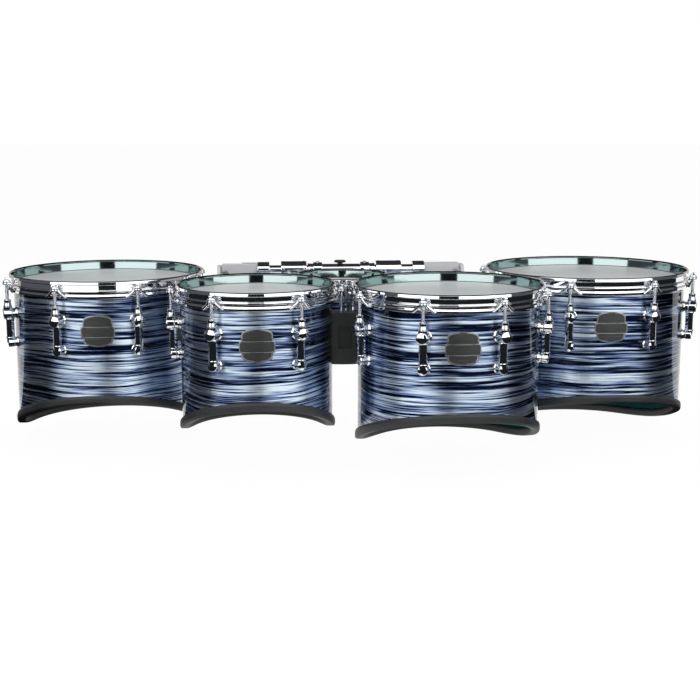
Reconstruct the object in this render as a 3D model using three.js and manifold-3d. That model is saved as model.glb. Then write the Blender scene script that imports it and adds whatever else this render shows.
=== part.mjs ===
// Marching tenor drums: four large drums in a row, a small shot drum behind them, and the bar that hangs them on a carrier.
// Millimetres, +Z up. The audience's side is -Y and the player's side is +Y. Angles round a drum start at -Y and grow towards +X.
import * as THREE from "three";
import { mergeVertices } from "three/addons/utils/BufferGeometryUtils.js";
import Module from "manifold-3d";

const wasm = await Module();
wasm.setup();

// Gap between two pieces that touch, and how far a cutter runs past what it cuts.
const CLEAR = 0.3;
const OVERRUN = 1;
const MERGE = 1e-3;

// The five drums. Depths are measured down from the playing plane, the level of the large drums' rims.
// A large drum's lower edge is flat at the back, at depth, and slants up to the audience's side, where it ends rise higher.
// The slant starts behind the drum's middle, at cutShare of its radius.
const DRUMS = {
  tenor_13: { radius: 165.1, depth: 288.5, rise: 77.2, cutShare: 0.04, rimDrop: 0, lugs: 8, lugTurn: 22.5, sides: 32 },
  tenor_10: { radius: 127, depth: 255.5, rise: 63.8, cutShare: 0.05, rimDrop: 0, lugs: 6, lugTurn: 30, sides: 24 },
  tenor_12: { radius: 152.4, depth: 284, rise: 79.5, cutShare: 0.33, rimDrop: 0, lugs: 8, lugTurn: 22.5, sides: 32 },
  tenor_14: { radius: 177.8, depth: 312, rise: 92.5, cutShare: 0.45, rimDrop: 0, lugs: 8, lugTurn: 22.5, sides: 32 },
  shot_6: { radius: 76.2, depth: 158, rise: 0, cutShare: 0, rimDrop: 6, lugs: 4, lugTurn: 0, sides: 20 },
};
// How much lift the rounding between the flat and the slanted part takes on each side of their meeting line.
const CUT_BLEND = 22;
// Gap under a shell's slanted lower edge, where the facets of the two pieces are twisted.
const SEAT_GAP = 0.6;
// Gaps between neighbouring shells, and how far the outer drums' backs stand behind the inner drums' backs.
const LAYOUT = { gapLeft: 42, gapMiddle: 42.6, gapRight: 28.3, setback: 237.2, gapShot: 19 };

const SHELL = { wall: 6, edgeDrop: 18.6, edgeFlat: 1.5, edgeRound: 1.2, edgeBevel: 3 };
const GUARD = { wall: 4.2, floor: 4.5, height: 14.5 };
const HEAD = { film: 0.8, top: 17.5, collar: 1.2, ringTop: 21.8, ringWidth: 3.6, ringHeight: 6.4 };
const HOOP = {
  inner: 3.2, bead: 6.6, beadHeight: 3, beadSlope: 1.2, outer: 5, ridge: 8.2, ridgeTop: 15, ridgeSlope: 0.6,
  ridgeBottom: 17.6, skirt: 7.2, skirtWall: 1.7, height: 29,
};
const CLAW = { top: 12.5, topInner: 4.8, halfTop: 5.5, tip: 20.3, legs: 19, foot: 9.5, footInner: 6.2, bottom: 28.5 };
const ROD = { circle: 15.3, radius: 3, end: 72, washer: 6.5, washerHeight: 2.5, key: 3.8, top: 4.5, sides: 6 };
const LUG = {
  neckTop: 42.5, neckBottom: 58, neckTopRadius: 4.6, neckRadius: 7,
  upper: 67, upperRadius: 9.3, upperReach: 24.8, lower: 118.5, lowerRadius: 7.6, lowerReach: 18.2,
  tubeInset: 3, tubeRadius: 6.2, bore: 3.6, boreEnd: 74, sides: 6,
};
const BADGE = {
  depth: 85, thickness: 2.2, halfHeight: 26.8, shoulder: 21.5, shoulderHalf: 20, halfWidth: 25, corner: 18,
  tabHalf: 28.2, tabTop: 7.6, tabBottom: 11.4, sides: 6,
};
const BLOCK = { top: 51, bottom: 137, halfThick: 14, windowTop: 75, windowBottom: 112, windowHalf: 11, windowDepth: 7 };
const BRIDGE = { top: 78, bottom: 112, halfThick: 15 };
const SHOT_BRIDGE = { top: 74, bottom: 104, halfThick: 11 };
const BOLT = { radius: 3, bore: 3.5, head: 5.6, headHeight: 4, bite: 7, sides: 8, tabShares: [1 / 3, 11 / 15], platePlace: 9, plateDrop: 5 };

// The carrier bar behind the drums. Its pieces follow each other from the outer drums inwards, each with its own width.
// back is how far the bar's axis stands behind the shot drum's claw, and lugGap is the room beside the outer drums' lugs.
const BAR = { back: 19.76, lugGap: 17.75, axisDepth: 11.6, shift: 6, rod: 8.5, rodSides: 16, bore: 9.1 };
const PLATE = { width: 68.5, top: 0.4, bottom: 92, halfThick: 5, chamfer: 4 };
const ARM = { width: 30, height: 22, setIn: 30.5, saddleWidth: 50, saddleDepth: 9 };
const OUTER_ARM = { thick: 6, lap: 24, top: 3, chamfer: 12, footWidth: 20, footInset: 42, footHeight: 22 };
const KNUCKLE = { width: 22.4, radius: 15, tab: 30, tabThick: 6, tabHalfHeight: 13, sides: 20 };
const RECEIVER = {
  gap: 21.8, width: 48, radius: 16, sides: 16, socketBack: 28, socketRadius: 12, socketBore: 6.6, socketTop: 6,
  socketBottom: 72, socketSides: 12, webHalf: 7, bossRadius: 7, bossReach: 19, bossDepth: 50, screwBore: 4.3,
};
const COLLAR = { gap: 2.2, width: 17, radius: 12.5, neck: 10.8, neckWidth: 10.5, sides: 16 };
const SLEEVE = { radius: 10.4, sides: 16, knobBore: 3.4 };
const KNOB = { shift: -2, cap: 11, capTop: 17.2, capHeight: 4.8, stem: 5.5, stemBottom: 10.9, screw: 3, screwEnd: 9.2, sides: 12 };
const T_SCREW = { radius: 3.9, tip: 7, reach: 34, handleHalf: 19, handleRadius: 3.2, sides: 10 };
const COLLAR_SCREW = { radius: 3.4, top: 15.4, bottom: 12.9, sides: 8 };

const INK = {
  wrap: [0x5c6b8c, 0.25, 0.2], chrome: [0xd5d8dc, 0.12, 1], rubber: [0x2e3133, 0.75, 0], film: [0xc4cacd, 0.45, 0],
  black: [0x262827, 0.5, 0.1], badge: [0x3a3b3b, 0.35, 0.8], aluminium: [0xb9bcbf, 0.35, 1], knob: [0x1b1c1c, 0.5, 0],
};

const set = new THREE.Group();

/** The material of a colour, roughness and metalness written in INK. */
function finish([color, roughness, metalness]) {
  return new THREE.MeshStandardMaterial({ color, roughness, metalness });
}

/** A three.js geometry as a solid that can be cut and joined. */
function solid(geometry) {
  const bare = geometry.clone();
  bare.deleteAttribute("normal");
  bare.deleteAttribute("uv");
  const merged = mergeVertices(bare, MERGE);
  return new wasm.Manifold(
    new wasm.Mesh({
      numProp: 3,
      vertProperties: new Float32Array(merged.attributes.position.array),
      triVerts: new Uint32Array(merged.index.array),
    }),
  );
}

/** Adds a named piece to the set. The shape is a solid or a geometry. */
function piece(name, shape, ink) {
  let geometry = shape;
  if (!shape.isBufferGeometry) {
    const { numProp, vertProperties, triVerts } = shape.getMesh();
    const flat = new Float32Array((vertProperties.length / numProp) * 3);
    for (let i = 0; i < flat.length / 3; i += 1) {
      flat.set(vertProperties.subarray(i * numProp, i * numProp + 3), i * 3);
    }
    geometry = new THREE.BufferGeometry();
    geometry.setAttribute("position", new THREE.BufferAttribute(flat, 3));
    geometry.setIndex(new THREE.BufferAttribute(new Uint32Array(triVerts), 1));
    geometry.computeVertexNormals();
  }
  const mesh = new THREE.Mesh(geometry, finish(ink));
  mesh.name = name;
  set.add(mesh);
  return mesh;
}

/** Turns a profile of [radius, depth] points round the vertical through the origin. */
function turned(points, sides) {
  return new THREE.LatheGeometry(points.map(([r, depth]) => new THREE.Vector2(r, -depth)), sides).rotateX(Math.PI / 2);
}

/** Turns a profile whose points close on themselves. */
function turnedRing(points, sides) {
  return turned([...points, points[0]], sides);
}

/** A turned bar along +X from start to end. */
function barAlongX(radius, start, end, sides) {
  const bar = new THREE.CylinderGeometry(radius, radius, end - start, sides).rotateZ(-Math.PI / 2);
  return bar.translate((start + end) / 2, 0, 0);
}

/** A block given by its lowest and highest corners. */
function block([x0, y0, z0], [x1, y1, z1]) {
  return new THREE.BoxGeometry(x1 - x0, y1 - y0, z1 - z0).translate((x0 + x1) / 2, (y0 + y1) / 2, (z0 + z1) / 2);
}

/** Moves a geometry made along -Y from a drum's centre to an angle round the drum. */
function aroundDrum(geometry, drum, degrees) {
  return geometry.rotateZ(THREE.MathUtils.degToRad(degrees)).translate(drum.x, drum.y, -drum.rimDrop);
}

/** Joins several solids into one. */
function joined(solids) {
  return solids.reduce((whole, next) => whole.add(next));
}

/** The point that lies at given distances from two others, on the player's side of them. */
function behind(a, reachA, b, reachB) {
  const span = Math.hypot(b.x - a.x, b.y - a.y);
  const along = (reachA ** 2 - reachB ** 2 + span ** 2) / (2 * span);
  const off = Math.sqrt(reachA ** 2 - along ** 2);
  const [ux, uy] = [(b.x - a.x) / span, (b.y - a.y) / span];
  return { x: a.x + along * ux - off * uy, y: a.y + along * uy + off * ux };
}

/** The step along X between two drums of a given gap that stand at different places along Y. */
function stepAlongX(a, b, gap) {
  return Math.sqrt((a.radius + b.radius + gap) ** 2 - (a.y - b.y) ** 2);
}

// Places of the drums: the inner pair's backs line up, and so do the outer pair's.
const { tenor_13: d13, tenor_10: d10, tenor_12: d12, tenor_14: d14, shot_6: d6 } = DRUMS;
const innerBack = d10.radius;
const outerBack = innerBack + LAYOUT.setback;
Object.assign(d10, { x: 0, y: 0 });
d12.y = innerBack - d12.radius;
d12.x = d10.x + stepAlongX(d10, d12, LAYOUT.gapMiddle);
d13.y = outerBack - d13.radius;
d13.x = d10.x - stepAlongX(d10, d13, LAYOUT.gapLeft);
d14.y = outerBack - d14.radius;
d14.x = d12.x + stepAlongX(d12, d14, LAYOUT.gapRight);
Object.assign(
  d6,
  behind(d10, d10.radius + d6.radius + LAYOUT.gapShot, d12, d12.radius + d6.radius + LAYOUT.gapShot),
);

/** How the cut lifts the lower edge at an angle round the drum, and how much its slope stretches heights there. */
function cutAt(drum, angle) {
  if (drum.rise === 0) return { lift: 0, stretch: 1 };
  const scale = drum.rise / (1 + drum.cutShare);
  const plane = scale * (Math.cos(angle) + drum.cutShare);
  const slope = (scale * Math.sin(angle)) / drum.radius;
  if (plane >= CUT_BLEND) return { lift: plane, stretch: Math.hypot(1, slope) };
  if (plane <= -CUT_BLEND) return { lift: 0, stretch: 1 };
  const share = (plane + CUT_BLEND) / (2 * CUT_BLEND);
  return { lift: CUT_BLEND * share ** 2, stretch: Math.hypot(1, slope * share) };
}

/** Bends the lower edge of a turned piece to the drum's slanted cut. Points above the guard stay where they are. */
function slanted(geometry, drum) {
  const at = geometry.attributes.position;
  for (let i = 0; i < at.count; i += 1) {
    const height = at.getZ(i) + drum.depth;
    if (height <= GUARD.height + CLEAR) {
      const { lift, stretch } = cutAt(drum, Math.atan2(at.getX(i), -at.getY(i)));
      at.setZ(i, height * stretch + lift - drum.depth);
    }
  }
  return geometry;
}

/** The angles of a drum's tension rods, in degrees. */
function rodAngles(drum) {
  return Array.from({ length: drum.lugs }, (_, i) => drum.lugTurn + (i * 360) / drum.lugs);
}

/** The plain outside of a shell, grown by a clearance, for cutting what stands against it. */
function shellCutter(drum, clearance) {
  const reach = drum.radius + clearance;
  const cutter = turned([[0, drum.depth], [reach, drum.depth], [reach, 0], [0, 0]], drum.sides);
  return solid(aroundDrum(cutter, drum, 0));
}

/** One lug: two posts from the shell, a tube between their ends, and a neck that takes the tension rod. */
function lug(drum, degrees) {
  const out = (reach) => drum.radius + reach;
  const post = (depth, radius, reach) => {
    const root = drum.radius - SHELL.wall / 2;
    const bar = new THREE.CylinderGeometry(radius, radius, out(reach) - root, LUG.sides);
    return bar.translate(0, -(out(reach) + root) / 2, -depth);
  };
  const tube = turned(
    [[0, LUG.lower], [LUG.tubeRadius, LUG.lower], [LUG.tubeRadius, LUG.upper], [0, LUG.upper]],
    LUG.sides,
  ).translate(0, -out(ROD.circle - LUG.tubeInset), 0);
  const neck = turned(
    [
      [0, LUG.upper], [LUG.neckRadius, LUG.upper], [LUG.neckRadius, LUG.neckBottom],
      [LUG.neckTopRadius, LUG.neckTop], [0, LUG.neckTop],
    ],
    LUG.sides,
  ).translate(0, -out(ROD.circle), 0);
  const bore = turned(
    [[0, LUG.boreEnd], [LUG.bore, LUG.boreEnd], [LUG.bore, LUG.neckTop - OVERRUN], [0, LUG.neckTop - OVERRUN]],
    ROD.sides,
  ).translate(0, -out(ROD.circle), 0);
  const parts = [
    post(LUG.upper, LUG.upperRadius, LUG.upperReach), post(LUG.lower, LUG.lowerRadius, LUG.lowerReach), tube, neck,
  ];
  const placed = parts.map((part) => solid(aroundDrum(part, drum, degrees)));
  return joined(placed).subtract(solid(aroundDrum(bore, drum, degrees)));
}

/** A shell with its lugs. Lugs at the angles in without are left out, because a block takes their rod. */
function makeShell(name, drum, without = []) {
  const bottom = drum.depth - GUARD.floor - SEAT_GAP;
  const edge = SHELL.edgeDrop;
  const inner = drum.radius - SHELL.wall;
  const tube = slanted(
    turnedRing(
      [
        [inner, bottom], [drum.radius, bottom], [drum.radius, edge + SHELL.edgeRound + drum.rimDrop],
        [drum.radius - SHELL.edgeFlat, edge + drum.rimDrop], [inner, edge + SHELL.edgeBevel + drum.rimDrop],
      ],
      drum.sides,
    ),
    drum,
  ).translate(drum.x, drum.y, 0);
  const lugs = rodAngles(drum).filter((a) => !without.includes(a)).map((a) => lug(drum, a));
  piece(name, joined([solid(tube), ...lugs]), INK.wrap);
}

/** The channel of soft trim that is pushed over a shell's lower edge. */
function makeGuard(name, drum) {
  const { depth } = drum;
  const [outside, inside] = [drum.radius + CLEAR, drum.radius - SHELL.wall - CLEAR];
  const [top, floor] = [depth - GUARD.height, depth - GUARD.floor];
  const channel = [
    [inside - GUARD.wall, depth], [outside + GUARD.wall, depth], [outside + GUARD.wall, top], [outside, top],
    [outside, floor], [inside, floor], [inside, top], [inside - GUARD.wall, top],
  ];
  piece(name, slanted(turnedRing(channel, drum.sides), drum).translate(drum.x, drum.y, 0), INK.rubber);
}

/** A drum head: the film, its collar over the bearing edge, and the ring that the hoop pulls down. */
function makeHead(name, drum) {
  const hug = drum.radius + CLEAR;
  const bend = hug + HEAD.collar;
  const ring = bend + HEAD.ringWidth;
  const ringEnd = HEAD.ringTop + HEAD.ringHeight;
  const film = [
    [0, HEAD.top + HEAD.film], [hug, HEAD.top + HEAD.film], [hug, ringEnd], [ring, ringEnd], [ring, HEAD.ringTop],
    [bend, HEAD.ringTop], [hug, HEAD.top], [0, HEAD.top],
  ];
  piece(name, aroundDrum(turned(film, drum.sides), drum, 0), INK.film);
}

/** The claw that a tension rod pulls on, one solid gusset from the hoop's ridge to the rod and down to the skirt. */
function claw(drum, degrees) {
  const at = (reach) => -(drum.radius + reach);
  const top = [
    [-CLAW.halfTop, at(CLAW.tip)], [CLAW.halfTop, at(CLAW.tip)],
    [CLAW.halfTop, at(CLAW.topInner)], [-CLAW.halfTop, at(CLAW.topInner)],
  ].map(([x, y]) => [x, y, -CLAW.top]);
  const foot = [
    [-CLAW.legs, at(CLAW.foot)], [CLAW.legs, at(CLAW.foot)],
    [CLAW.legs, at(CLAW.footInner)], [-CLAW.legs, at(CLAW.footInner)],
  ].map(([x, y]) => [x, y, -CLAW.bottom]);
  const geometry = new THREE.BufferGeometry();
  geometry.setAttribute("position", new THREE.Float32BufferAttribute([...top, ...foot].flat(), 3));
  const sides = [0, 1, 2, 3].flatMap((i) => {
    const j = (i + 1) % 4;
    return [i, i + 4, j + 4, i, j + 4, j];
  });
  geometry.setIndex([0, 1, 2, 0, 2, 3, 4, 6, 5, 4, 7, 6, ...sides]);
  return solid(aroundDrum(geometry, drum, degrees));
}

/** A tension rod with its washer and square key head, standing on a claw. */
function rod(drum, degrees) {
  const washerTop = CLAW.top - ROD.washerHeight;
  const shank = [
    [0, ROD.end], [ROD.radius, ROD.end], [ROD.radius, CLAW.top], [ROD.washer, CLAW.top], [ROD.washer, washerTop],
    [ROD.key, washerTop], [ROD.key, ROD.top], [0, ROD.top],
  ];
  const placed = turned(shank, ROD.sides).translate(0, -(drum.radius + ROD.circle), 0);
  return solid(aroundDrum(placed, drum, degrees));
}

/** A pressed hoop with its claws and tension rods. */
function makeHoop(name, drum) {
  const at = (offset) => drum.radius + offset;
  const seat = HEAD.ringTop - CLEAR;
  const skirtInner = at(HOOP.skirt - HOOP.skirtWall);
  const section = [
    [skirtInner, HOOP.height], [at(HOOP.skirt), HOOP.height], [at(HOOP.ridge), HOOP.ridgeBottom],
    [at(HOOP.ridge), HOOP.ridgeTop + HOOP.ridgeSlope], [at(HOOP.outer), HOOP.ridgeTop],
    [at(HOOP.outer), HOOP.beadHeight + HOOP.beadSlope], [at(HOOP.bead), HOOP.beadHeight], [at(HOOP.bead), 0],
    [at(HOOP.inner), 0], [at(HOOP.inner), seat], [skirtInner, seat],
  ];
  const ring = solid(aroundDrum(turnedRing(section, drum.sides), drum, 0));
  const pulls = rodAngles(drum).flatMap((a) => [claw(drum, a), rod(drum, a)]);
  piece(name, joined([ring, ...pulls]), INK.chrome);
}

/** A blank badge: a barrel outline with side tabs, bent to the shell. */
function makeBadge(name, drum) {
  const { halfWidth: half, tabHalf: tab, halfHeight: crown, shoulder, shoulderHalf, corner, tabTop, tabBottom } = BADGE;
  const bulge = 2 * crown - shoulder;
  const outline = new THREE.Shape();
  outline.moveTo(half, tabTop);
  outline.lineTo(half, corner);
  outline.lineTo(shoulderHalf, shoulder);
  outline.quadraticCurveTo(0, bulge, -shoulderHalf, shoulder);
  for (const [x, y] of [[-half, corner], [-half, tabTop], [-tab, tabTop], [-tab, -tabBottom], [-half, -tabBottom], [-half, -corner]]) {
    outline.lineTo(x, y);
  }
  outline.lineTo(-shoulderHalf, -shoulder);
  outline.quadraticCurveTo(0, -bulge, shoulderHalf, -shoulder);
  for (const [x, y] of [[half, -corner], [half, -tabBottom], [tab, -tabBottom], [tab, tabTop]]) {
    outline.lineTo(x, y);
  }
  const plug = new THREE.ExtrudeGeometry(outline, { depth: drum.radius, bevelEnabled: false, curveSegments: BADGE.sides });
  plug.rotateX(Math.PI / 2).translate(drum.x, drum.y - drum.radius / 2, -BADGE.depth);
  const [low, high] = [BADGE.depth + crown + OVERRUN, BADGE.depth - crown - OVERRUN];
  const [inner, outer] = [drum.radius + CLEAR, drum.radius + CLEAR + BADGE.thickness];
  const skin = turnedRing([[inner, low], [outer, low], [outer, high], [inner, high]], drum.sides);
  piece(name, solid(plug).intersect(solid(skin.translate(drum.x, drum.y, 0))), INK.badge);
}

/** A turned bar along +Y from start to end, at a place on the bar given by x and height above the axis. */
function pinOnBar(radius, start, end, x, up, sides) {
  return new THREE.CylinderGeometry(radius, radius, end - start, sides).translate(x, (start + end) / 2, up);
}

/** A block from one shell to another along the line of their centres, cut to both. */
function between(a, b, size) {
  const [dx, dy] = [b.x - a.x, b.y - a.y];
  const span = Math.hypot(dx, dy);
  const bar = block([a.radius / 2, -size.halfThick, -size.bottom], [span - b.radius / 2, size.halfThick, -size.top]);
  const placed = solid(bar.rotateZ(Math.atan2(dy, dx)).translate(a.x, a.y, 0));
  return placed.subtract(shellCutter(a, CLEAR)).subtract(shellCutter(b, CLEAR));
}

for (const [name, drum] of Object.entries(DRUMS)) {
  makeShell(name + "_shell", drum, drum === d10 ? [90] : []);
  makeGuard(name + "_edge_guard", drum);
  makeHead(name + "_head", drum);
  makeHoop(name + "_hoop", drum);
}
for (const name of ["tenor_13", "tenor_10", "tenor_12", "tenor_14"]) {
  makeBadge(name + "_badge", DRUMS[name]);
}

// The centre block stands between the 10 and 12 inch shells and takes the tension rod that faces the gap.
const gapMiddle = (d10.x + d10.radius + d12.x - d12.radius) / 2;
const centreBox = block(
  [d10.x + d10.radius / 2, d10.y - BLOCK.halfThick, -BLOCK.bottom],
  [d12.x - d12.radius / 2, d10.y + BLOCK.halfThick, -BLOCK.top],
);
const centreWindow = block(
  [gapMiddle - BLOCK.windowHalf, d10.y - BLOCK.halfThick - OVERRUN, -BLOCK.windowBottom],
  [gapMiddle + BLOCK.windowHalf, d10.y - BLOCK.halfThick + BLOCK.windowDepth, -BLOCK.windowTop],
);
const centreBore = turned(
  [[0, LUG.boreEnd], [LUG.bore, LUG.boreEnd], [LUG.bore, BLOCK.top - OVERRUN], [0, BLOCK.top - OVERRUN]],
  ROD.sides,
).translate(d10.x + d10.radius + ROD.circle, d10.y, 0);
piece(
  "centre_block",
  solid(centreBox)
    .subtract(shellCutter(d10, CLEAR))
    .subtract(shellCutter(d12, CLEAR))
    .subtract(solid(centreWindow))
    .subtract(solid(centreBore)),
  INK.black,
);
piece("left_bridge_block", between(d13, d10, BRIDGE), INK.black);
piece("right_bridge_block", between(d12, d14, BRIDGE), INK.black);
piece("shot_bridge_left", between(d10, d6, SHOT_BRIDGE), INK.black);
piece("shot_bridge_right", between(d12, d6, SHOT_BRIDGE), INK.black);

// The carrier bar: a cross rod held by a bracket at each end, and the two receivers that tilt on it.
const barX = d6.x + BAR.shift;
const barY = d6.y + d6.radius + CLAW.tip + BAR.back;
const onBar = (shape) => solid(shape.translate(barX, barY, -BAR.axisDepth));

/** How far from the bar's centre, along X, the nearest end of a lug on an outer drum is. */
function lugPlace(drum) {
  const ends = rodAngles(drum).map((degrees) => {
    const angle = THREE.MathUtils.degToRad(degrees);
    return Math.abs(drum.x + (drum.radius + LUG.upperReach) * Math.sin(angle) - barX) - LUG.upperRadius * Math.abs(Math.cos(angle));
  });
  return Math.min(...ends);
}

// Half widths from the bar's centre, from the outer arms to the sleeve between the collars.
const legOuter = Math.min(lugPlace(d13), lugPlace(d14)) - BAR.lugGap;
const legInner = legOuter - OUTER_ARM.thick;
const plateOuter = legInner - CLEAR;
const plateInner = plateOuter - PLATE.width;
const knuckleInner = plateInner - CLEAR - KNUCKLE.width;
const receiverOuter = knuckleInner - RECEIVER.gap;
const receiverInner = receiverOuter - RECEIVER.width;
const neckOuter = receiverInner - COLLAR.gap;
const collarOuter = neckOuter - COLLAR.neckWidth;
const collarInner = collarOuter - COLLAR.width;
const tubeOnBar = (radius, bore, start, end, sides) =>
  onBar(barAlongX(radius, start, end, sides)).subtract(onBar(barAlongX(bore, start - OVERRUN, end + OVERRUN, BAR.rodSides)));

/** A block whose places along X are half widths on one side of the bar. */
function sideBlock(side, from, to, ys, zs) {
  const xs = [barX + side * from, barX + side * to].sort((a, b) => a - b);
  return solid(block([xs[0], ys[0], zs[0]], [xs[1], ys[1], zs[1]]));
}

/** A cut through or into a plate of the bar along +Y, for a bolt at a half width and a height above the axis. */
function boltHole(side, place, up, start, end) {
  return onBar(pinOnBar(BOLT.bore, start, end, side * place, up, BOLT.sides));
}

// The bolts' half widths: two hold each knuckle from the player's side, and one holds each outer arm from the audience's.
const knuckleBolts = BOLT.tabShares.map((share) => plateInner + share * KNUCKLE.tab);
const armBolt = plateOuter - BOLT.platePlace;
const plateBack = PLATE.halfThick + CLEAR;

/** The bracket of one side: the upright plate and its arm to the inner drum's back. */
function makeBracket(name, side, inner) {
  const outline = new THREE.Shape();
  outline.moveTo(side * plateInner, -PLATE.bottom);
  outline.lineTo(side * plateOuter, -PLATE.bottom);
  outline.lineTo(side * plateOuter, PLATE.top - PLATE.chamfer);
  outline.lineTo(side * (plateOuter - PLATE.chamfer), PLATE.top);
  outline.lineTo(side * plateInner, PLATE.top);
  const plate = new THREE.ExtrudeGeometry(outline, { depth: 2 * PLATE.halfThick, bevelEnabled: false });
  plate.rotateX(Math.PI / 2).translate(barX, barY + PLATE.halfThick, 0);
  const armZ = [-PLATE.bottom, -PLATE.bottom + ARM.height];
  const armFrom = plateOuter - ARM.setIn - ARM.width;
  const armMiddle = armFrom + ARM.width / 2;
  const arm = sideBlock(side, armFrom, armFrom + ARM.width, [inner.y + inner.radius / 2, barY], armZ);
  const saddleY = [inner.y + inner.radius / 2, inner.y + inner.radius + ARM.saddleDepth];
  const saddle = sideBlock(side, armMiddle - ARM.saddleWidth / 2, armMiddle + ARM.saddleWidth / 2, saddleY, armZ);
  const holes = knuckleBolts.map((place) => boltHole(side, place, 0, PLATE.halfThick - BOLT.bite, plateBack));
  holes.push(boltHole(side, armBolt, -BOLT.plateDrop, -plateBack, plateBack));
  const cutters = [shellCutter(inner, CLEAR), ...holes];
  piece(name, cutters.reduce((body, cutter) => body.subtract(cutter), joined([solid(plate), arm, saddle])), INK.aluminium);
}

/** The outer arm of one side: a bent strap behind and beside the plate's outer end, with a foot on the outer drum. */
function makeOuterArm(name, side, outer) {
  const zs = [-PLATE.bottom, -OUTER_ARM.top];
  const behindPlate = [barY + plateBack, barY + plateBack + OUTER_ARM.thick];
  const lap = sideBlock(side, plateOuter - OUTER_ARM.lap, legOuter, behindPlate, zs);
  const footY = [barY - OUTER_ARM.footInset - OUTER_ARM.footWidth, barY - OUTER_ARM.footInset];
  const outline = new THREE.Shape();
  outline.moveTo(footY[0], -PLATE.bottom);
  outline.lineTo(behindPlate[1], -PLATE.bottom);
  outline.lineTo(behindPlate[1], -OUTER_ARM.top);
  outline.lineTo(barY - OUTER_ARM.chamfer, -OUTER_ARM.top);
  outline.lineTo(footY[0], OUTER_ARM.footHeight - PLATE.bottom);
  const leg = new THREE.ExtrudeGeometry(outline, { depth: OUTER_ARM.thick, bevelEnabled: false });
  leg.rotateX(Math.PI / 2).rotateZ(Math.PI / 2).translate(barX + (side > 0 ? legInner : -legOuter), 0, 0);
  const foot = sideBlock(side, legInner, Math.abs(outer.x - barX) - outer.radius / 2, footY, [zs[0], zs[0] + OUTER_ARM.footHeight]);
  const hole = boltHole(side, armBolt, -BOLT.plateDrop, PLATE.halfThick, plateBack + OUTER_ARM.thick + OVERRUN);
  piece(name, joined([lap, solid(leg), foot]).subtract(shellCutter(outer, CLEAR)).subtract(hole), INK.aluminium);
}

/** A bolt along Y on one side of the bar. Its head's seat and its end are places along Y from the bar's axis. */
function makeBolt(name, side, place, up, seat, end) {
  const headEnd = seat + Math.sign(seat) * BOLT.headHeight;
  const along = (radius, a, b) => onBar(pinOnBar(radius, Math.min(a, b), Math.max(a, b), side * place, up, BOLT.sides));
  piece(name, along(BOLT.head, seat, headEnd).add(along(BOLT.radius, headEnd, end)), INK.chrome);
}

/** The knuckle that clamps the cross rod's end, with the tab that is bolted to the back of the bracket's plate. */
function makeKnuckle(name, side) {
  const [from, to] = side > 0 ? [knuckleInner, plateInner - CLEAR] : [-plateInner + CLEAR, -knuckleInner];
  const barrel = onBar(barAlongX(KNUCKLE.radius, from, to, KNUCKLE.sides));
  const tabY = [plateBack, plateBack + KNUCKLE.tabThick];
  const tab = sideBlock(
    side,
    knuckleInner,
    plateInner + KNUCKLE.tab,
    tabY.map((y) => barY + y),
    [-BAR.axisDepth - KNUCKLE.tabHalfHeight, -BAR.axisDepth + KNUCKLE.tabHalfHeight],
  );
  const bore = onBar(barAlongX(BAR.bore, from - OVERRUN, to + OVERRUN, BAR.rodSides));
  const holes = knuckleBolts.map((place) => boltHole(side, place, 0, tabY[0] - OVERRUN, tabY[1] + OVERRUN));
  piece(name, [bore, ...holes].reduce((body, cutter) => body.subtract(cutter), barrel.add(tab)), INK.aluminium);
}

/** A receiver: the barrel on the cross rod and the upright socket for one of the carrier's rods. Returns its place along X. */
function makeReceiver(name, side) {
  const [from, to] = [side * receiverInner, side * receiverOuter].sort((a, b) => a - b);
  const middle = (from + to) / 2;
  const upright = (radius, sides, overrun) =>
    turned(
      [
        [0, RECEIVER.socketBottom + overrun], [radius, RECEIVER.socketBottom + overrun],
        [radius, RECEIVER.socketTop - overrun], [0, RECEIVER.socketTop - overrun],
      ],
      sides,
    ).translate(barX + middle, barY + RECEIVER.socketBack, 0);
  const web = block([middle - RECEIVER.webHalf, 0, -RECEIVER.radius], [middle + RECEIVER.webHalf, RECEIVER.socketBack, 0]);
  const boss = new THREE.CylinderGeometry(RECEIVER.bossRadius, RECEIVER.bossRadius, RECEIVER.bossReach, RECEIVER.socketSides);
  boss.translate(barX + middle, barY + RECEIVER.socketBack + RECEIVER.bossReach / 2, -RECEIVER.bossDepth);
  const tap = new THREE.CylinderGeometry(RECEIVER.screwBore, RECEIVER.screwBore, RECEIVER.bossReach + OVERRUN, T_SCREW.sides);
  tap.translate(barX + middle, barY + RECEIVER.socketBack + (RECEIVER.bossReach + OVERRUN) / 2, -RECEIVER.bossDepth);
  const body = joined([
    onBar(barAlongX(RECEIVER.radius, from, to, RECEIVER.sides)), solid(upright(RECEIVER.socketRadius, RECEIVER.socketSides, 0)),
    onBar(web), solid(boss),
  ]);
  const cut = onBar(barAlongX(BAR.bore, from - OVERRUN, to + OVERRUN, BAR.rodSides));
  piece(name, body.subtract(cut).subtract(solid(upright(RECEIVER.socketBore, RECEIVER.socketSides, OVERRUN))).subtract(solid(tap)), INK.chrome);
  return barX + middle;
}

/** The screw with a cross handle that locks a carrier rod in its socket. */
function makeSocketScrew(name, x) {
  const tip = barY + RECEIVER.socketBack + T_SCREW.tip;
  const end = barY + RECEIVER.socketBack + T_SCREW.reach;
  const shank = new THREE.CylinderGeometry(T_SCREW.radius, T_SCREW.radius, end - tip, T_SCREW.sides);
  shank.translate(x, (tip + end) / 2, -RECEIVER.bossDepth);
  const handle = barAlongX(T_SCREW.handleRadius, -T_SCREW.handleHalf, T_SCREW.handleHalf, T_SCREW.sides);
  handle.translate(x, end - T_SCREW.handleRadius, -RECEIVER.bossDepth);
  piece(name, solid(shank).add(solid(handle)), INK.chrome);
}

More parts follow.
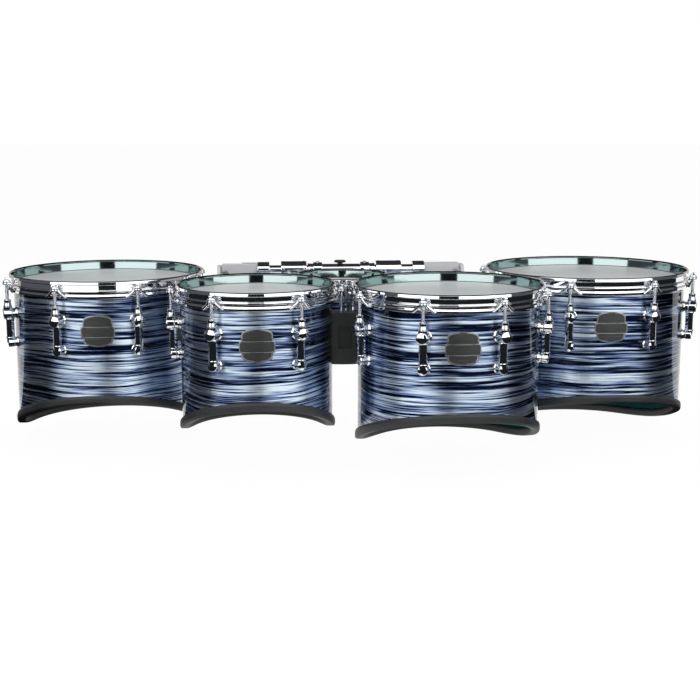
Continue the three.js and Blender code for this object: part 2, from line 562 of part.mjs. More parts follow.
piece("cross_rod", onBar(barAlongX(BAR.rod, -plateInner + CLEAR, plateInner - CLEAR, BAR.rodSides)), INK.chrome);
const sleeveEnd = collarInner - CLEAR;
const knobX = KNOB.shift;
const knobTurned = (points, sides) => onBar(turned(points.map(([r, up]) => [r, -up]), sides).translate(knobX, 0, 0));
piece(
  "centre_sleeve",
  tubeOnBar(SLEEVE.radius, BAR.bore, -sleeveEnd, sleeveEnd, SLEEVE.sides).subtract(
    knobTurned([[0, 0], [SLEEVE.knobBore, 0], [SLEEVE.knobBore, SLEEVE.radius + OVERRUN], [0, SLEEVE.radius + OVERRUN]], KNOB.sides),
  ),
  INK.chrome,
);
piece(
  "tilt_lock_knob",
  knobTurned(
    [
      [0, KNOB.screwEnd], [KNOB.screw, KNOB.screwEnd], [KNOB.screw, KNOB.stemBottom], [KNOB.stem, KNOB.stemBottom],
      [KNOB.stem, KNOB.capTop - KNOB.capHeight], [KNOB.cap, KNOB.capTop - KNOB.capHeight], [KNOB.cap, KNOB.capTop], [0, KNOB.capTop],
    ],
    KNOB.sides,
  ),
  INK.knob,
);
for (const [word, side, inner, outer] of [["left", -1, d10, d13], ["right", 1, d12, d14]]) {
  makeBracket(word + "_bracket", side, inner);
  makeOuterArm(word + "_outer_arm", side, outer);
  makeKnuckle(word + "_knuckle", side);
  const seat = plateBack + KNUCKLE.tabThick + CLEAR;
  knuckleBolts.forEach((place, i) => {
    makeBolt(word + "_knuckle_bolt_" + (i + 1), side, place, 0, seat, PLATE.halfThick - BOLT.bite + CLEAR);
  });
  makeBolt(word + "_arm_bolt", side, armBolt, -BOLT.plateDrop, -plateBack, plateBack + OUTER_ARM.thick);
  makeSocketScrew(word + "_socket_screw", makeReceiver(word + "_receiver", side));
  const [from, to] = [side * collarInner, side * collarOuter].sort((a, b) => a - b);
  const [neckFrom, neckTo] = [side * (collarOuter - OVERRUN), side * neckOuter].sort((a, b) => a - b);
  piece(
    word + "_collar",
    tubeOnBar(COLLAR.radius, BAR.bore, from, to, COLLAR.sides).add(
      tubeOnBar(COLLAR.neck, BAR.bore, neckFrom, neckTo, COLLAR.sides),
    ),
    INK.chrome,
  );
  const screw = turned(
    [[0, -COLLAR_SCREW.bottom], [COLLAR_SCREW.radius, -COLLAR_SCREW.bottom], [COLLAR_SCREW.radius, -COLLAR_SCREW.top], [0, -COLLAR_SCREW.top]],
    COLLAR_SCREW.sides,
  );
  piece(word + "_collar_screw", onBar(screw.translate((side * (collarInner + collarOuter)) / 2, 0, 0)), INK.chrome);
}

// The origin lies under the middle of the whole set, on the surface that it stands on.
const box = new THREE.Box3().setFromObject(set);
set.position.set(-(box.min.x + box.max.x) / 2, -(box.min.y + box.max.y) / 2, -box.min.z);

export default set;
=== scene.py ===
"""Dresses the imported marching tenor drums: shells, hoops, heads, lugs, guards, badges and the carrier bar."""

import logging
import math
from dataclasses import dataclass, field
from enum import Enum
from typing import Callable, Iterable, Sequence

import bmesh
import bpy
from mathutils import Matrix, Vector


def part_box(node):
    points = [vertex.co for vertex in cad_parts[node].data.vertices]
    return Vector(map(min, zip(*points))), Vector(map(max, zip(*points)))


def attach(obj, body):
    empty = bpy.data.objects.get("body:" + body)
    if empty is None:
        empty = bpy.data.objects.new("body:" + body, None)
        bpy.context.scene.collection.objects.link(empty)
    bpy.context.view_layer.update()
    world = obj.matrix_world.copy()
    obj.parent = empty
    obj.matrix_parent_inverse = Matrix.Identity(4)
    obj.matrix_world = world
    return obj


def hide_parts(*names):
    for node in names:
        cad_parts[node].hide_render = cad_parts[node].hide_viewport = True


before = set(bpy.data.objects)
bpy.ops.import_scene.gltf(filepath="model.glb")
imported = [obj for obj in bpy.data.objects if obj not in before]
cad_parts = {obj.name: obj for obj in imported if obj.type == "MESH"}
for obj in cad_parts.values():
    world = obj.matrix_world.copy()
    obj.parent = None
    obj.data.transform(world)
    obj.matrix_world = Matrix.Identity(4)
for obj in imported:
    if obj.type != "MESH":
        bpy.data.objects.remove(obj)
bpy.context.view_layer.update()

log = logging.getLogger("tenor_drums")

BMesh = bmesh.types.BMesh
Material = bpy.types.Material
Socket = bpy.types.NodeSocket
Point = tuple[float, float]
Place = tuple[float, float, float]
Corner = tuple[float, float, float]
Colour = tuple[float, float, float, float]
Height = Callable[[float], float]
Chooser = Callable[[bmesh.types.BMFace], int]
Filler = Callable[[BMesh], None]

ROOT = "drum_set"
TILT_BAR = "tilt_bar"
LOCK_KNOB = "lock_knob"

# Edges are shaded sharp above the first angle. CAD edges are rounded above the second, and CAD faces that
# differ by less than the third are one.
SMOOTH_ANGLE = math.radians(32)
EDGE_ANGLE = math.radians(30)
FLAT_ANGLE = math.radians(1)
# The gap between two pieces, the distance at which vertices merge, and how nearly straight a corner is that
# isn't rounded.
GAP = 0.0003
MERGE = 1e-5
STRAIGHT = 1e-4
# A noise texture's average height.
NOISE_MEAN = 0.5
WHITE: Colour = (1, 1, 1, 1)


class Slot(Enum):
    """The record's material slots."""

    SHELL = "shell"
    CHROME = "chrome"
    RUBBER = "rubber"
    FILM = "film"
    BLACK = "black"
    BADGE = "badge"
    ALUMINIUM = "aluminium"
    STEEL = "steel"
    KNOB = "knob"


class NodeSketch:
    """The node tree of a material or of the world, filled in step by step."""

    def __init__(self, owner: Material | bpy.types.World, end: str = "ShaderNodeOutputMaterial") -> None:
        """Empties the node tree.

        Args:
            owner: The material or the world.
            end: The type name of its output node.
        """
        owner.use_nodes = True
        self.owner = owner
        self.tree = owner.node_tree
        self.tree.nodes.clear()
        self.out = self.add(end)

    def add(
        self, kind: str, sockets: dict[str | int, object] | None = None, **values: object
    ) -> bpy.types.Node:
        """Adds a node.

        Args:
            kind: The node's type name.
            sockets: What its inputs take, each a constant or the socket that it is linked to.
            values: Properties of the node by name.

        Returns:
            The new node.
        """
        node = self.tree.nodes.new(kind)
        for key, value in values.items():
            setattr(node, key, value)
        for key, value in (sockets or {}).items():
            if isinstance(value, Socket):
                self.tree.links.new(value, node.inputs[key])
            else:
                node.inputs[key].default_value = value
        return node

    def stretched(self, vector: Socket, scale: Place) -> Socket:
        """A place, stretched by a scale along each axis."""
        return self.add("ShaderNodeMapping", {"Vector": vector, "Scale": scale}).outputs["Vector"]

    def place(self, scale: Place = (1, 1, 1)) -> Socket:
        """Object coordinates, stretched by how much pattern one metre takes along each axis."""
        return self.stretched(self.add("ShaderNodeTexCoord").outputs["Object"], scale)

    def noise(
        self, vector: Socket, scale: float, detail: float = 3, rough: float = 0.5, twist: float = 0.0
    ) -> Socket:
        """A noise texture's height.

        Args:
            vector: The place that it is read at.
            scale: Its scale.
            detail: Its octaves.
            rough: How strong the finer octaves are.
            twist: How far the pattern is distorted.

        Returns:
            The height socket.
        """
        inputs = {"Vector": vector, "Scale": scale, "Detail": detail, "Roughness": rough, "Distortion": twist}
        return self.add("ShaderNodeTexNoise", inputs).outputs["Fac"]

    def math(self, operation: str, a: object, b: object) -> Socket:
        """An operation on two values, each a socket or a number."""
        return self.add("ShaderNodeMath", {0: a, 1: b}, operation=operation).outputs["Value"]

    def spread(self, height: Socket, low: float, high: float) -> Socket:
        """A height from 0 to 1 spread between two values."""
        inputs = {"Value": height, "To Min": low, "To Max": high}
        return self.add("ShaderNodeMapRange", inputs).outputs["Result"]

    def ramp(self, height: Socket, stops: Sequence[tuple[float, Colour]]) -> Socket:
        """Colours along a height.

        Args:
            height: The height socket.
            stops: Each colour with its place from 0 to 1.

        Returns:
            The colour socket.
        """
        node = self.add("ShaderNodeValToRGB", {"Fac": height})
        elements = node.color_ramp.elements
        while len(elements) < len(stops):
            elements.new(1.0)
        for element, (at, colour) in zip(elements, stops):
            element.position = at
            element.color = colour
        return node.outputs["Color"]

    def tones(self, height: Socket, dark: Colour, light: Colour, start: float = 0.3) -> Socket:
        """Two tones that blend in the middle of a height, from a start to as far from its end."""
        return self.ramp(height, [(start, dark), (1 - start, light)])

    def bump(self, height: Socket, depth: float, strength: float) -> Socket:
        """A normal from a height, with its depth in metres and its share of the full effect."""
        inputs = {"Distance": depth, "Strength": strength, "Height": height}
        return self.add("ShaderNodeBump", inputs).outputs["Normal"]

    def plain(self, kind: str, colour: Colour, **sockets: object) -> Socket:
        """The result of a plain shader node of one colour."""
        return self.add(kind, {"Color": colour, **sockets}).outputs[0]

    def seen_by(self, *rays: str) -> Socket:
        """A value of 1 to the kinds of ray that are named, and 0 to the others.

        Args:
            rays: The names of Light Path's outputs.

        Returns:
            The value's socket.
        """
        path = self.add("ShaderNodeLightPath")
        seen, *others = [path.outputs[ray] for ray in rays]
        for other in others:
            seen = self.math("MAXIMUM", seen, other)
        return seen

    def finish(self, shader: Socket) -> None:
        """Ends the tree in a shader."""
        self.tree.links.new(shader, self.out.inputs["Surface"])

    def blend(self, share: Socket, first: Socket, second: Socket) -> None:
        """Ends the tree in a mix of two shaders, all the second where the share is 1."""
        self.finish(self.add("ShaderNodeMixShader", {"Fac": share, 1: first, 2: second}).outputs["Shader"])

    def surface(self, **sockets: object) -> Material:
        """Ends a material in one Principled shader.

        Args:
            sockets: Each input's constant or source, with underscores for the spaces in its name.

        Returns:
            The material.
        """
        inputs = {key.replace("_", " "): value for key, value in sockets.items()}
        self.finish(self.add("ShaderNodeBsdfPrincipled", inputs).outputs["BSDF"])
        return self.owner


def sketch_of(name: str) -> NodeSketch:
    """The empty node tree of a new material."""
    return NodeSketch(bpy.data.materials.new(name))


@dataclass(frozen=True)
class Ripple:
    """One layer of the pearl wrap's ripples.

    Attributes:
        scale: How much pattern a metre holds along each axis.
        detail: Its octaves.
        share: Its share of the whole pattern.
    """

    scale: Place
    detail: float
    share: float


@dataclass(frozen=True)
class PearlWrap:
    """The blue grey pearl wrap: long flowing ripples of metal flakes, navy to near white, under a clear face.

    Attributes:
        levels: The heights where the ripples are night, slate, mist and shine.
        sway: How far the ripples rise and fall, in metres.
        sway_scale: How often they do.
        ripples: Their layers, from broad to fine.
        fine: How strong each layer's finer octaves are.
        twist: How far each layer is distorted.
        calm_scale: How often the pattern turns from calm to busy.
        calm: Its contrast where it is calm.
        busy: Its contrast where it is busy.
        depth: The depth of the ripples' bump.
    """

    night: Colour = (0.003, 0.007, 0.022, 1)
    slate: Colour = (0.070, 0.105, 0.215, 1)
    mist: Colour = (0.250, 0.355, 0.620, 1)
    shine: Colour = (0.790, 0.910, 1.000, 1)
    levels: tuple[float, ...] = (0.436, 0.466, 0.508, 0.572)
    sway: float = 0.020
    sway_scale: Place = (6, 6, 5)
    ripples: tuple[Ripple, ...] = (
        Ripple((4, 4, 50), 2.0, 0.19),
        Ripple((6, 6, 245), 2.0, 0.50),
        Ripple((9, 9, 500), 3.0, 0.31),
    )
    fine: float = 0.6
    twist: float = 0.5
    calm_scale: Place = (4, 4, 20)
    calm: float = 1.05
    busy: float = 1.85
    depth: float = 0.0012

    def swayed(self, sketch: NodeSketch) -> Socket:
        """Object coordinates that rise and fall slowly, so that the ripples flow.

        Args:
            sketch: The material's node tree.

        Returns:
            The vector socket.
        """
        sway = sketch.noise(sketch.place(self.sway_scale), 1.0, 1)
        lift = sketch.math("MULTIPLY", sketch.math("SUBTRACT", sway, NOISE_MEAN), self.sway)
        shift = sketch.add("ShaderNodeCombineXYZ", {"Z": lift}).outputs["Vector"]
        moved = sketch.add("ShaderNodeVectorMath", {0: sketch.place(), 1: shift}, operation="ADD")
        return moved.outputs["Vector"]

    def material(self) -> Material:
        """The wrap's material.

        Returns:
            The material.
        """
        sketch = sketch_of("pearl_wrap")
        flow = self.swayed(sketch)
        whole: object = -NOISE_MEAN
        for ripple in self.ripples:
            vector = sketch.stretched(flow, ripple.scale)
            layer = sketch.noise(vector, 1.0, ripple.detail, self.fine, self.twist)
            whole = sketch.math("ADD", sketch.math("MULTIPLY", layer, ripple.share), whole)
        mood = sketch.spread(sketch.noise(sketch.place(self.calm_scale), 1.0, 1), self.calm, self.busy)
        height = sketch.math("ADD", sketch.math("MULTIPLY", whole, mood), NOISE_MEAN)
        colours = (self.night, self.slate, self.mist, self.shine)
        round_axis = sketch.add("ShaderNodeTangent", direction_type="RADIAL", axis="Z")
        return sketch.surface(
            Base_Color=sketch.ramp(height, list(zip(self.levels, colours))),
            Metallic=0.985,
            Roughness=0.35,
            Anisotropic=0.9,
            Anisotropic_Rotation=0.25,
            Tangent=round_axis.outputs["Tangent"],
            Specular_Tint=self.night,
            Coat_Weight=1.0,
            Coat_Roughness=0.02,
            Normal=sketch.bump(height, self.depth, 0.8),
        )


@dataclass(frozen=True)
class Chrome:
    """Bright plating with a faint waviness and a few dull smudges."""

    name: str = "bright_chrome"
    tone: Colour = (0.80, 0.81, 0.83, 1)
    clean: float = 0.03
    smudged: float = 0.07
    smudge_scale: float = 38.0
    wave_scale: float = 70.0
    wave_depth: float = 0.0002

    def material(self) -> Material:
        """The plating's material.

        Returns:
            The material.
        """
        sketch = sketch_of(self.name)
        smudge = sketch.noise(sketch.place(), self.smudge_scale, 4, 0.6)
        wave = sketch.noise(sketch.place(), self.wave_scale, 1)
        return sketch.surface(
            Base_Color=self.tone,
            Metallic=1.0,
            Roughness=sketch.spread(smudge, self.clean, self.smudged),
            Normal=sketch.bump(wave, self.wave_depth, 0.12),
        )


@dataclass(frozen=True)
class BrushedMetal:
    """Satin metal brushed along X."""

    name: str
    dark: Colour
    light: Colour
    roughness: float
    metallic: float = 0.9
    brushing: Place = (12, 900, 1400)
    smoother: float = 0.07
    rougher: float = 0.09
    depth: float = 0.0001

    def material(self) -> Material:
        """The metal's material.

        Returns:
            The material.
        """
        sketch = sketch_of(self.name)
        grain = sketch.noise(sketch.place(self.brushing), 1.0, 2)
        return sketch.surface(
            Base_Color=sketch.tones(grain, self.dark, self.light),
            Metallic=self.metallic,
            Roughness=sketch.spread(grain, self.roughness - self.smoother, self.roughness + self.rougher),
            Normal=sketch.bump(grain, self.depth, 0.25),
        )


@dataclass(frozen=True)
class Moulding:
    """Moulded plastic or rubber: a grained skin with cloudy tone."""

    name: str
    dark: Colour
    light: Colour
    roughness: float
    grain_scale: float = 900.0
    cloud_scale: float = 24.0
    smoother: float = 0.06
    rougher: float = 0.08
    depth: float = 0.00012

    def material(self) -> Material:
        """The moulding's material.

        Returns:
            The material.
        """
        sketch = sketch_of(self.name)
        cloud = sketch.noise(sketch.place(), self.cloud_scale, 4, 0.6)
        grain = sketch.noise(sketch.place(), self.grain_scale, 2)
        return sketch.surface(
            Base_Color=sketch.tones(cloud, self.dark, self.light),
            Roughness=sketch.spread(cloud, self.roughness - self.smoother, self.roughness + self.rougher),
            Normal=sketch.bump(grain, self.depth, 0.5),
        )


@dataclass(frozen=True)
class DrumFilm:
    """A coated head: pale grey film with a fine sprayed grain and a faint clouding."""

    dark: Colour = (0.385, 0.405, 0.41, 1)
    light: Colour = (0.455, 0.47, 0.475, 1)
    cloud_scale: float = 9.0
    spray_scale: float = 1500.0
    spray_depth: float = 0.00006

    def material(self) -> Material:
        """The film's material.

        Returns:
            The material.
        """
        sketch = sketch_of("drum_film")
        cloud = sketch.noise(sketch.place(), self.cloud_scale, 3)
        spray = sketch.noise(sketch.place(), self.spray_scale, 2)
        return sketch.surface(
            Base_Color=sketch.tones(cloud, self.dark, self.light, 0.35),
            Roughness=sketch.spread(spray, 0.34, 0.5),
            Coat_Weight=0.12,
            Coat_Roughness=0.25,
            Normal=sketch.bump(spray, self.spray_depth, 0.5),
        )


@dataclass(frozen=True)
class StainedMaple:
    """The shell's inside: wood stained dark teal, its grain running round the drum."""

    dark: Colour = (0.003, 0.090, 0.093, 1)
    light: Colour = (0.008, 0.230, 0.225, 1)
    grain_scale: Place = (9, 9, 240)
    grain_depth: float = 0.0002

    def material(self) -> Material:
        """The stained wood's material.

        Returns:
            The material.
        """
        sketch = sketch_of("stained_maple")
        grain = sketch.noise(sketch.place(self.grain_scale), 1.0, 4, 0.6)
        return sketch.surface(
            Base_Color=sketch.tones(grain, self.dark, self.light),
            Roughness=sketch.spread(grain, 0.5, 0.65),
            Specular_IOR_Level=0.12,
            Normal=sketch.bump(grain, self.grain_depth, 0.3),
        )


class Finishes:
    """Every finish of the set, each built once."""

    def __init__(self) -> None:
        """Builds the materials."""
        self.wrap = PearlWrap().material()
        self.maple = StainedMaple().material()
        self.film = DrumFilm().material()
        self.chrome = Chrome().material()
        # The hoop's inner faces are real chrome, tinted teal as a painted reflection of the stained inside and
        # the heads.
        self.hoop_painted_reflection = Chrome("hoop_painted_reflection", (0.33, 0.405, 0.400, 1), 0.05, 0.10).material()
        self.rods = Chrome("rod_plating", (0.86, 0.88, 0.92, 1), 0.20, 0.30).material()
        self.rubber = self.moulding("guard_rubber", (0.01, 0.0115, 0.0125), (0.019, 0.0215, 0.0225), 0.5, 700)
        # Painted shade: near-black rubber for the guard's inner lip and underside, where it lies in shadow.
        self.guard_painted_shade = self.moulding("guard_painted_shade", (0.003, 0.003, 0.003), (0.006, 0.007, 0.007), 0.55, 700)
        self.black = self.moulding("black_moulding", (0.014, 0.015, 0.014), (0.026, 0.028, 0.026), 0.42)
        self.knob = self.moulding("knob_moulding", (0.004, 0.004, 0.004), (0.010, 0.010, 0.010), 0.42)
        self.badge = self.brushed("badge_metal", (0.052, 0.054, 0.053), (0.094, 0.097, 0.094), 0.40)
        # Painted highlight: a lighter metal on the badge's border, rims and sides.
        self.badge_painted_highlight = self.brushed("badge_border_highlight", (0.240, 0.246, 0.246), (0.420, 0.426, 0.426), 0.28)
        self.steel = self.brushed("zinc_steel", (0.36, 0.37, 0.38), (0.52, 0.53, 0.54), 0.30)
        matt = (0.52, 0.52, 0.525), (0.64, 0.64, 0.65)
        self.aluminium = self.brushed("brushed_aluminium", *matt, 0.38, 0.45)

    def moulding(self, name: str, dark: Place, light: Place, *values: float) -> Material:
        """A moulding's material, from its tones and the values that follow them."""
        return Moulding(name, (*dark, 1), (*light, 1), *values).material()

    def brushed(self, name: str, dark: Place, light: Place, *values: float) -> Material:
        """A brushed metal's material, from its tones and the values that follow them."""
        return BrushedMetal(name, (*dark, 1), (*light, 1), *values).material()


def bowed(start: Vector, bend: Vector, end: Vector, share: float) -> Vector:
    """A point on the curve from a start to an end that is drawn towards a bend."""
    return start * (1 - share) ** 2 + bend * 2 * share * (1 - share) + end * share**2


def filleted(corners: Sequence[Corner], steps: int = 3) -> list[Point]:
    """Rounds the corners of a closed outline.

    Args:
        corners: Each corner's two coordinates and the radius that it is rounded to, 0 for a sharp one.
        steps: How many edges a round corner has.

    Returns:
        The outline with its round corners.
    """
    points = [Vector(corner[:2]) for corner in corners]
    rounded: list[Point] = []
    for i, (here, corner) in enumerate(zip(points, corners)):
        before, after = points[i - 1] - here, points[(i + 1) % len(points)] - here
        turn = before.angle(after)
        if corner[2] <= 0 or abs(turn - math.pi) < STRAIGHT:
            rounded.append(tuple(here))
            continue
        reach = min(corner[2] / math.tan(turn / 2), before.length / 2, after.length / 2)
        start, end = here + before.normalized() * reach, here + after.normalized() * reach
        rounded += [tuple(bowed(start, here, end, step / steps)) for step in range(steps + 1)]
    return rounded


def rounded_bar(radius: float, length: float, edge: float, steps: int = 3) -> list[Point]:
    """The profile of a bar from height 0 to a length, with round edges at both ends."""
    return filleted([(0, 0, 0), (radius, 0, edge), (radius, length, edge), (0, length, 0)], steps)


def ring_section(inner: float, outer: float, low: float, high: float, edge: float) -> list[Point]:
    """The section of a plain ring with round edges."""
    corners = ((inner, low), (outer, low), (outer, high), (inner, high))
    return filleted([(*corner, edge) for corner in corners], 2)


def turned(profile: Sequence[Point], steps: int, closed: bool = False, arc: float = math.tau) -> BMesh:
    """Spins a profile of (radius, height) points round the Z axis from +X.

    Args:
        profile: The profile's points.
        steps: How many steps the turn has.
        closed: Whether the profile joins its own start, as a ring's section does.
        arc: How far it turns, in radians.

    Returns:
        A bmesh with the turned shape.
    """
    bm = bmesh.new()
    corners = [bm.verts.new((radius, 0, height)) for radius, height in profile]
    edges = [bm.edges.new(pair) for pair in zip(corners, corners[1:])]
    if closed:
        edges.append(bm.edges.new((corners[-1], corners[0])))
    whole = arc == math.tau
    bmesh.ops.spin(bm, geom=corners + edges, axis=(0, 0, 1), angle=arc, steps=steps, use_merge=whole)
    return bm


def absorb(bm: BMesh, part: BMesh, matrix: Matrix = Matrix()) -> None:
    """Moves a part into place and adds it to a mesh.

    Args:
        bm: The mesh that it is added to.
        part: The part, which is freed.
        matrix: Where it goes.
    """
    part.transform(matrix)
    mesh = bpy.data.meshes.new("part")
    part.to_mesh(mesh)
    part.free()
    bm.from_mesh(mesh)
    bpy.data.meshes.remove(mesh)


def add_turned(
    bm: BMesh, profile: Sequence[Point], steps: int, matrix: Matrix, closed: bool = False
) -> None:
    """Adds a turned solid and moves it into place."""
    absorb(bm, turned(profile, steps, closed), matrix)


def round_edges(bm: BMesh, edges: Sequence[bmesh.types.BMEdge], radius: float, segments: int) -> None:
    """Rounds edges of a mesh to a radius, with a number of faces round each.

    Args:
        bm: The mesh that it is added to.
        edges: Its edges.
        radius: Their new radius.
        segments: How many faces each gets.
    """
    bmesh.ops.bevel(
        bm, geom=edges, offset=radius, segments=segments, profile=0.5, affect="EDGES", material=-1,
        clamp_overlap=True,
    )


def add_block(bm: BMesh, low: Place, high: Place, edge: float, matrix: Matrix = Matrix()) -> None:
    """Adds a block with round edges.

    Args:
        bm: The mesh that it is added to.
        low: Its lowest corner.
        high: Its highest corner.
        edge: The radius of its edges.
        matrix: Where it goes.
    """
    size = [b - a for a, b in zip(low, high)]
    centre = [(a + b) / 2 for a, b in zip(low, high)]
    part = bmesh.new()
    bmesh.ops.create_cube(part, size=1, matrix=Matrix.Translation(centre) @ Matrix.Diagonal((*size, 1)))
    round_edges(part, part.edges[:], edge, 2)
    absorb(bm, part, matrix)


def add_sweep(bm: BMesh, path: Sequence[Vector], radii: Sequence[Point], sides: int) -> None:
    """Adds a bar swept along a path, with an oval section that may change.

    Args:
        bm: The mesh that it is added to.
        path: The points along its middle.
        radii: The section's half width and half depth at each point.
        sides: How many sides the section has.
    """
    loops = []
    last = len(path) - 1
    for i, (point, radius) in enumerate(zip(path, radii)):
        ahead = path[min(i + 1, last)] - path[max(i - 1, 0)]
        turn = ahead.to_track_quat("Z", "Y").to_matrix().to_4x4()
        matrix = Matrix.Translation(point) @ turn @ Matrix.Diagonal((*radius, 1, 1))
        made = bmesh.ops.create_circle(bm, cap_ends=i in (0, last), radius=1, segments=sides, matrix=matrix)
        loops.append(list({e for v in made["verts"] for e in v.link_edges}))
    for near, far in zip(loops, loops[1:]):
        bmesh.ops.bridge_loops(bm, edges=near + far)


def along_x(start: float) -> Matrix:
    """The matrix that lays a piece turned round Z along +X from a start."""
    return Matrix.Translation((start, 0, 0)) @ Matrix.Rotation(math.pi / 2, 4, "Y")


def along_y(place: Place, way: int = 1) -> Matrix:
    """The matrix that lays a piece turned round Z along +Y, or -Y where the way is -1, from a place."""
    return Matrix.Translation(place) @ Matrix.Rotation(-way * math.pi / 2, 4, "X")


def about_z(degrees: float) -> Matrix:
    """A turn round Z."""
    return Matrix.Rotation(math.radians(degrees), 4, "Z")


class Bench:
    """Finishes pieces: closes their seams, dresses them and sets them on their bodies."""

    def __init__(self, finishes: Finishes) -> None:
        """Keeps the set's finishes."""
        self.finishes = finishes
        self.count = 0

    def piece(
        self, bm: BMesh, name: str, node: str, body: str, slot: Slot, *materials: Material,
        choose: Chooser | None = None,
    ) -> None:
        """Makes a bmesh a piece of the scene.

        Args:
            bm: The filled bmesh, which is freed.
            name: The piece's name.
            node: The CAD node that it stands for.
            body: The body that it rides on.
            slot: The record's slot; not used.
            materials: Its materials.
            choose: Gives each face's material, where there are several and the mesh hasn't got them yet.
        """
        bmesh.ops.remove_doubles(bm, verts=bm.verts, dist=MERGE)
        bmesh.ops.dissolve_degenerate(bm, edges=bm.edges, dist=MERGE / 2)
        bmesh.ops.recalc_face_normals(bm, faces=bm.faces)
        for face in bm.faces:
            face.smooth = True
            if choose:
                face.material_index = choose(face)
        mesh = bpy.data.meshes.new(name)
        bm.to_mesh(mesh)
        bm.free()
        for material in materials:
            mesh.materials.append(material)
        mesh.set_sharp_from_angle(angle=SMOOTH_ANGLE)
        made = bpy.data.objects.new(name, mesh)
        bpy.context.scene.collection.objects.link(made)
        made.modifiers.new("flat_faces", "WEIGHTED_NORMAL").keep_sharp = True
        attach(made, body)
        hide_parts(node)
        self.count += 1
        log.info("%s on %s: %d faces", name, body, len(mesh.polygons))

    def softened(self, node: str, slot: Slot, material: Material, edge: float) -> None:
        """Makes a finer copy of a CAD node of the root body: its flat faces whole and its edges rounded.

        Args:
            node: The CAD node's name.
            slot: The record's slot.
            material: Its material.
            edge: The radius of its edges.
        """
        bm = bmesh.new()
        bm.from_mesh(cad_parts[node].data)
        bmesh.ops.remove_doubles(bm, verts=bm.verts, dist=MERGE)
        bmesh.ops.dissolve_limit(
            bm, angle_limit=FLAT_ANGLE, use_dissolve_boundaries=False, verts=bm.verts, edges=bm.edges,
            delimit={"NORMAL"},
        )
        sharp = [e for e in bm.edges if len(e.link_faces) == 2 and e.calc_face_angle(0) > EDGE_ANGLE]
        round_edges(bm, sharp, edge, 3)
        self.piece(bm, node + "_dressed", node, ROOT, slot, material)


@dataclass
class SlantCut:
    """A drum's lower edge: flat at the back, and from there slanting up to the audience's side.

    Attributes:
        radius: The shell's radius.
        rise: How far the edge is lifted at the front.
        share: Where the slant starts, from 0 at the drum's middle to 1 at its back.
        blend: Over what lift the flat part runs into the slant.
    """

    radius: float
    rise: float
    share: float
    blend: float = 0.022

    def at(self, angle: float) -> tuple[float, float]:
        """How much the cut lifts the edge and stretches heights.

        Args:
            angle: The angle round the drum from its front, in radians.

        Returns:
            The lift in metres and the stretch.
        """
        scale = self.rise / (1 + self.share)
        plane = scale * (math.cos(angle) + self.share)
        slope = scale * math.sin(angle) / self.radius
        if self.rise == 0 or plane <= -self.blend:
            return 0.0, 1.0
        if plane >= self.blend:
            return plane, math.hypot(1, slope)
        part = (plane + self.blend) / (2 * self.blend)
        return self.blend * part**2, math.hypot(1, slope * part)

    def bend(self, bm: BMesh, depth: float, reach: float) -> None:
        """Bends the lower edge of a piece that stands on its drum's own axis.

        Args:
            bm: The piece.
            depth: How far below the playing plane the straight edge is.
            reach: Up to what height over the edge vertices follow the cut.
        """
        for vert in bm.verts:
            height = vert.co.z + depth
            if height <= reach:
                lift, stretch = self.at(math.atan2(vert.co.x, -vert.co.y))
                vert.co.z = height * stretch + lift - depth


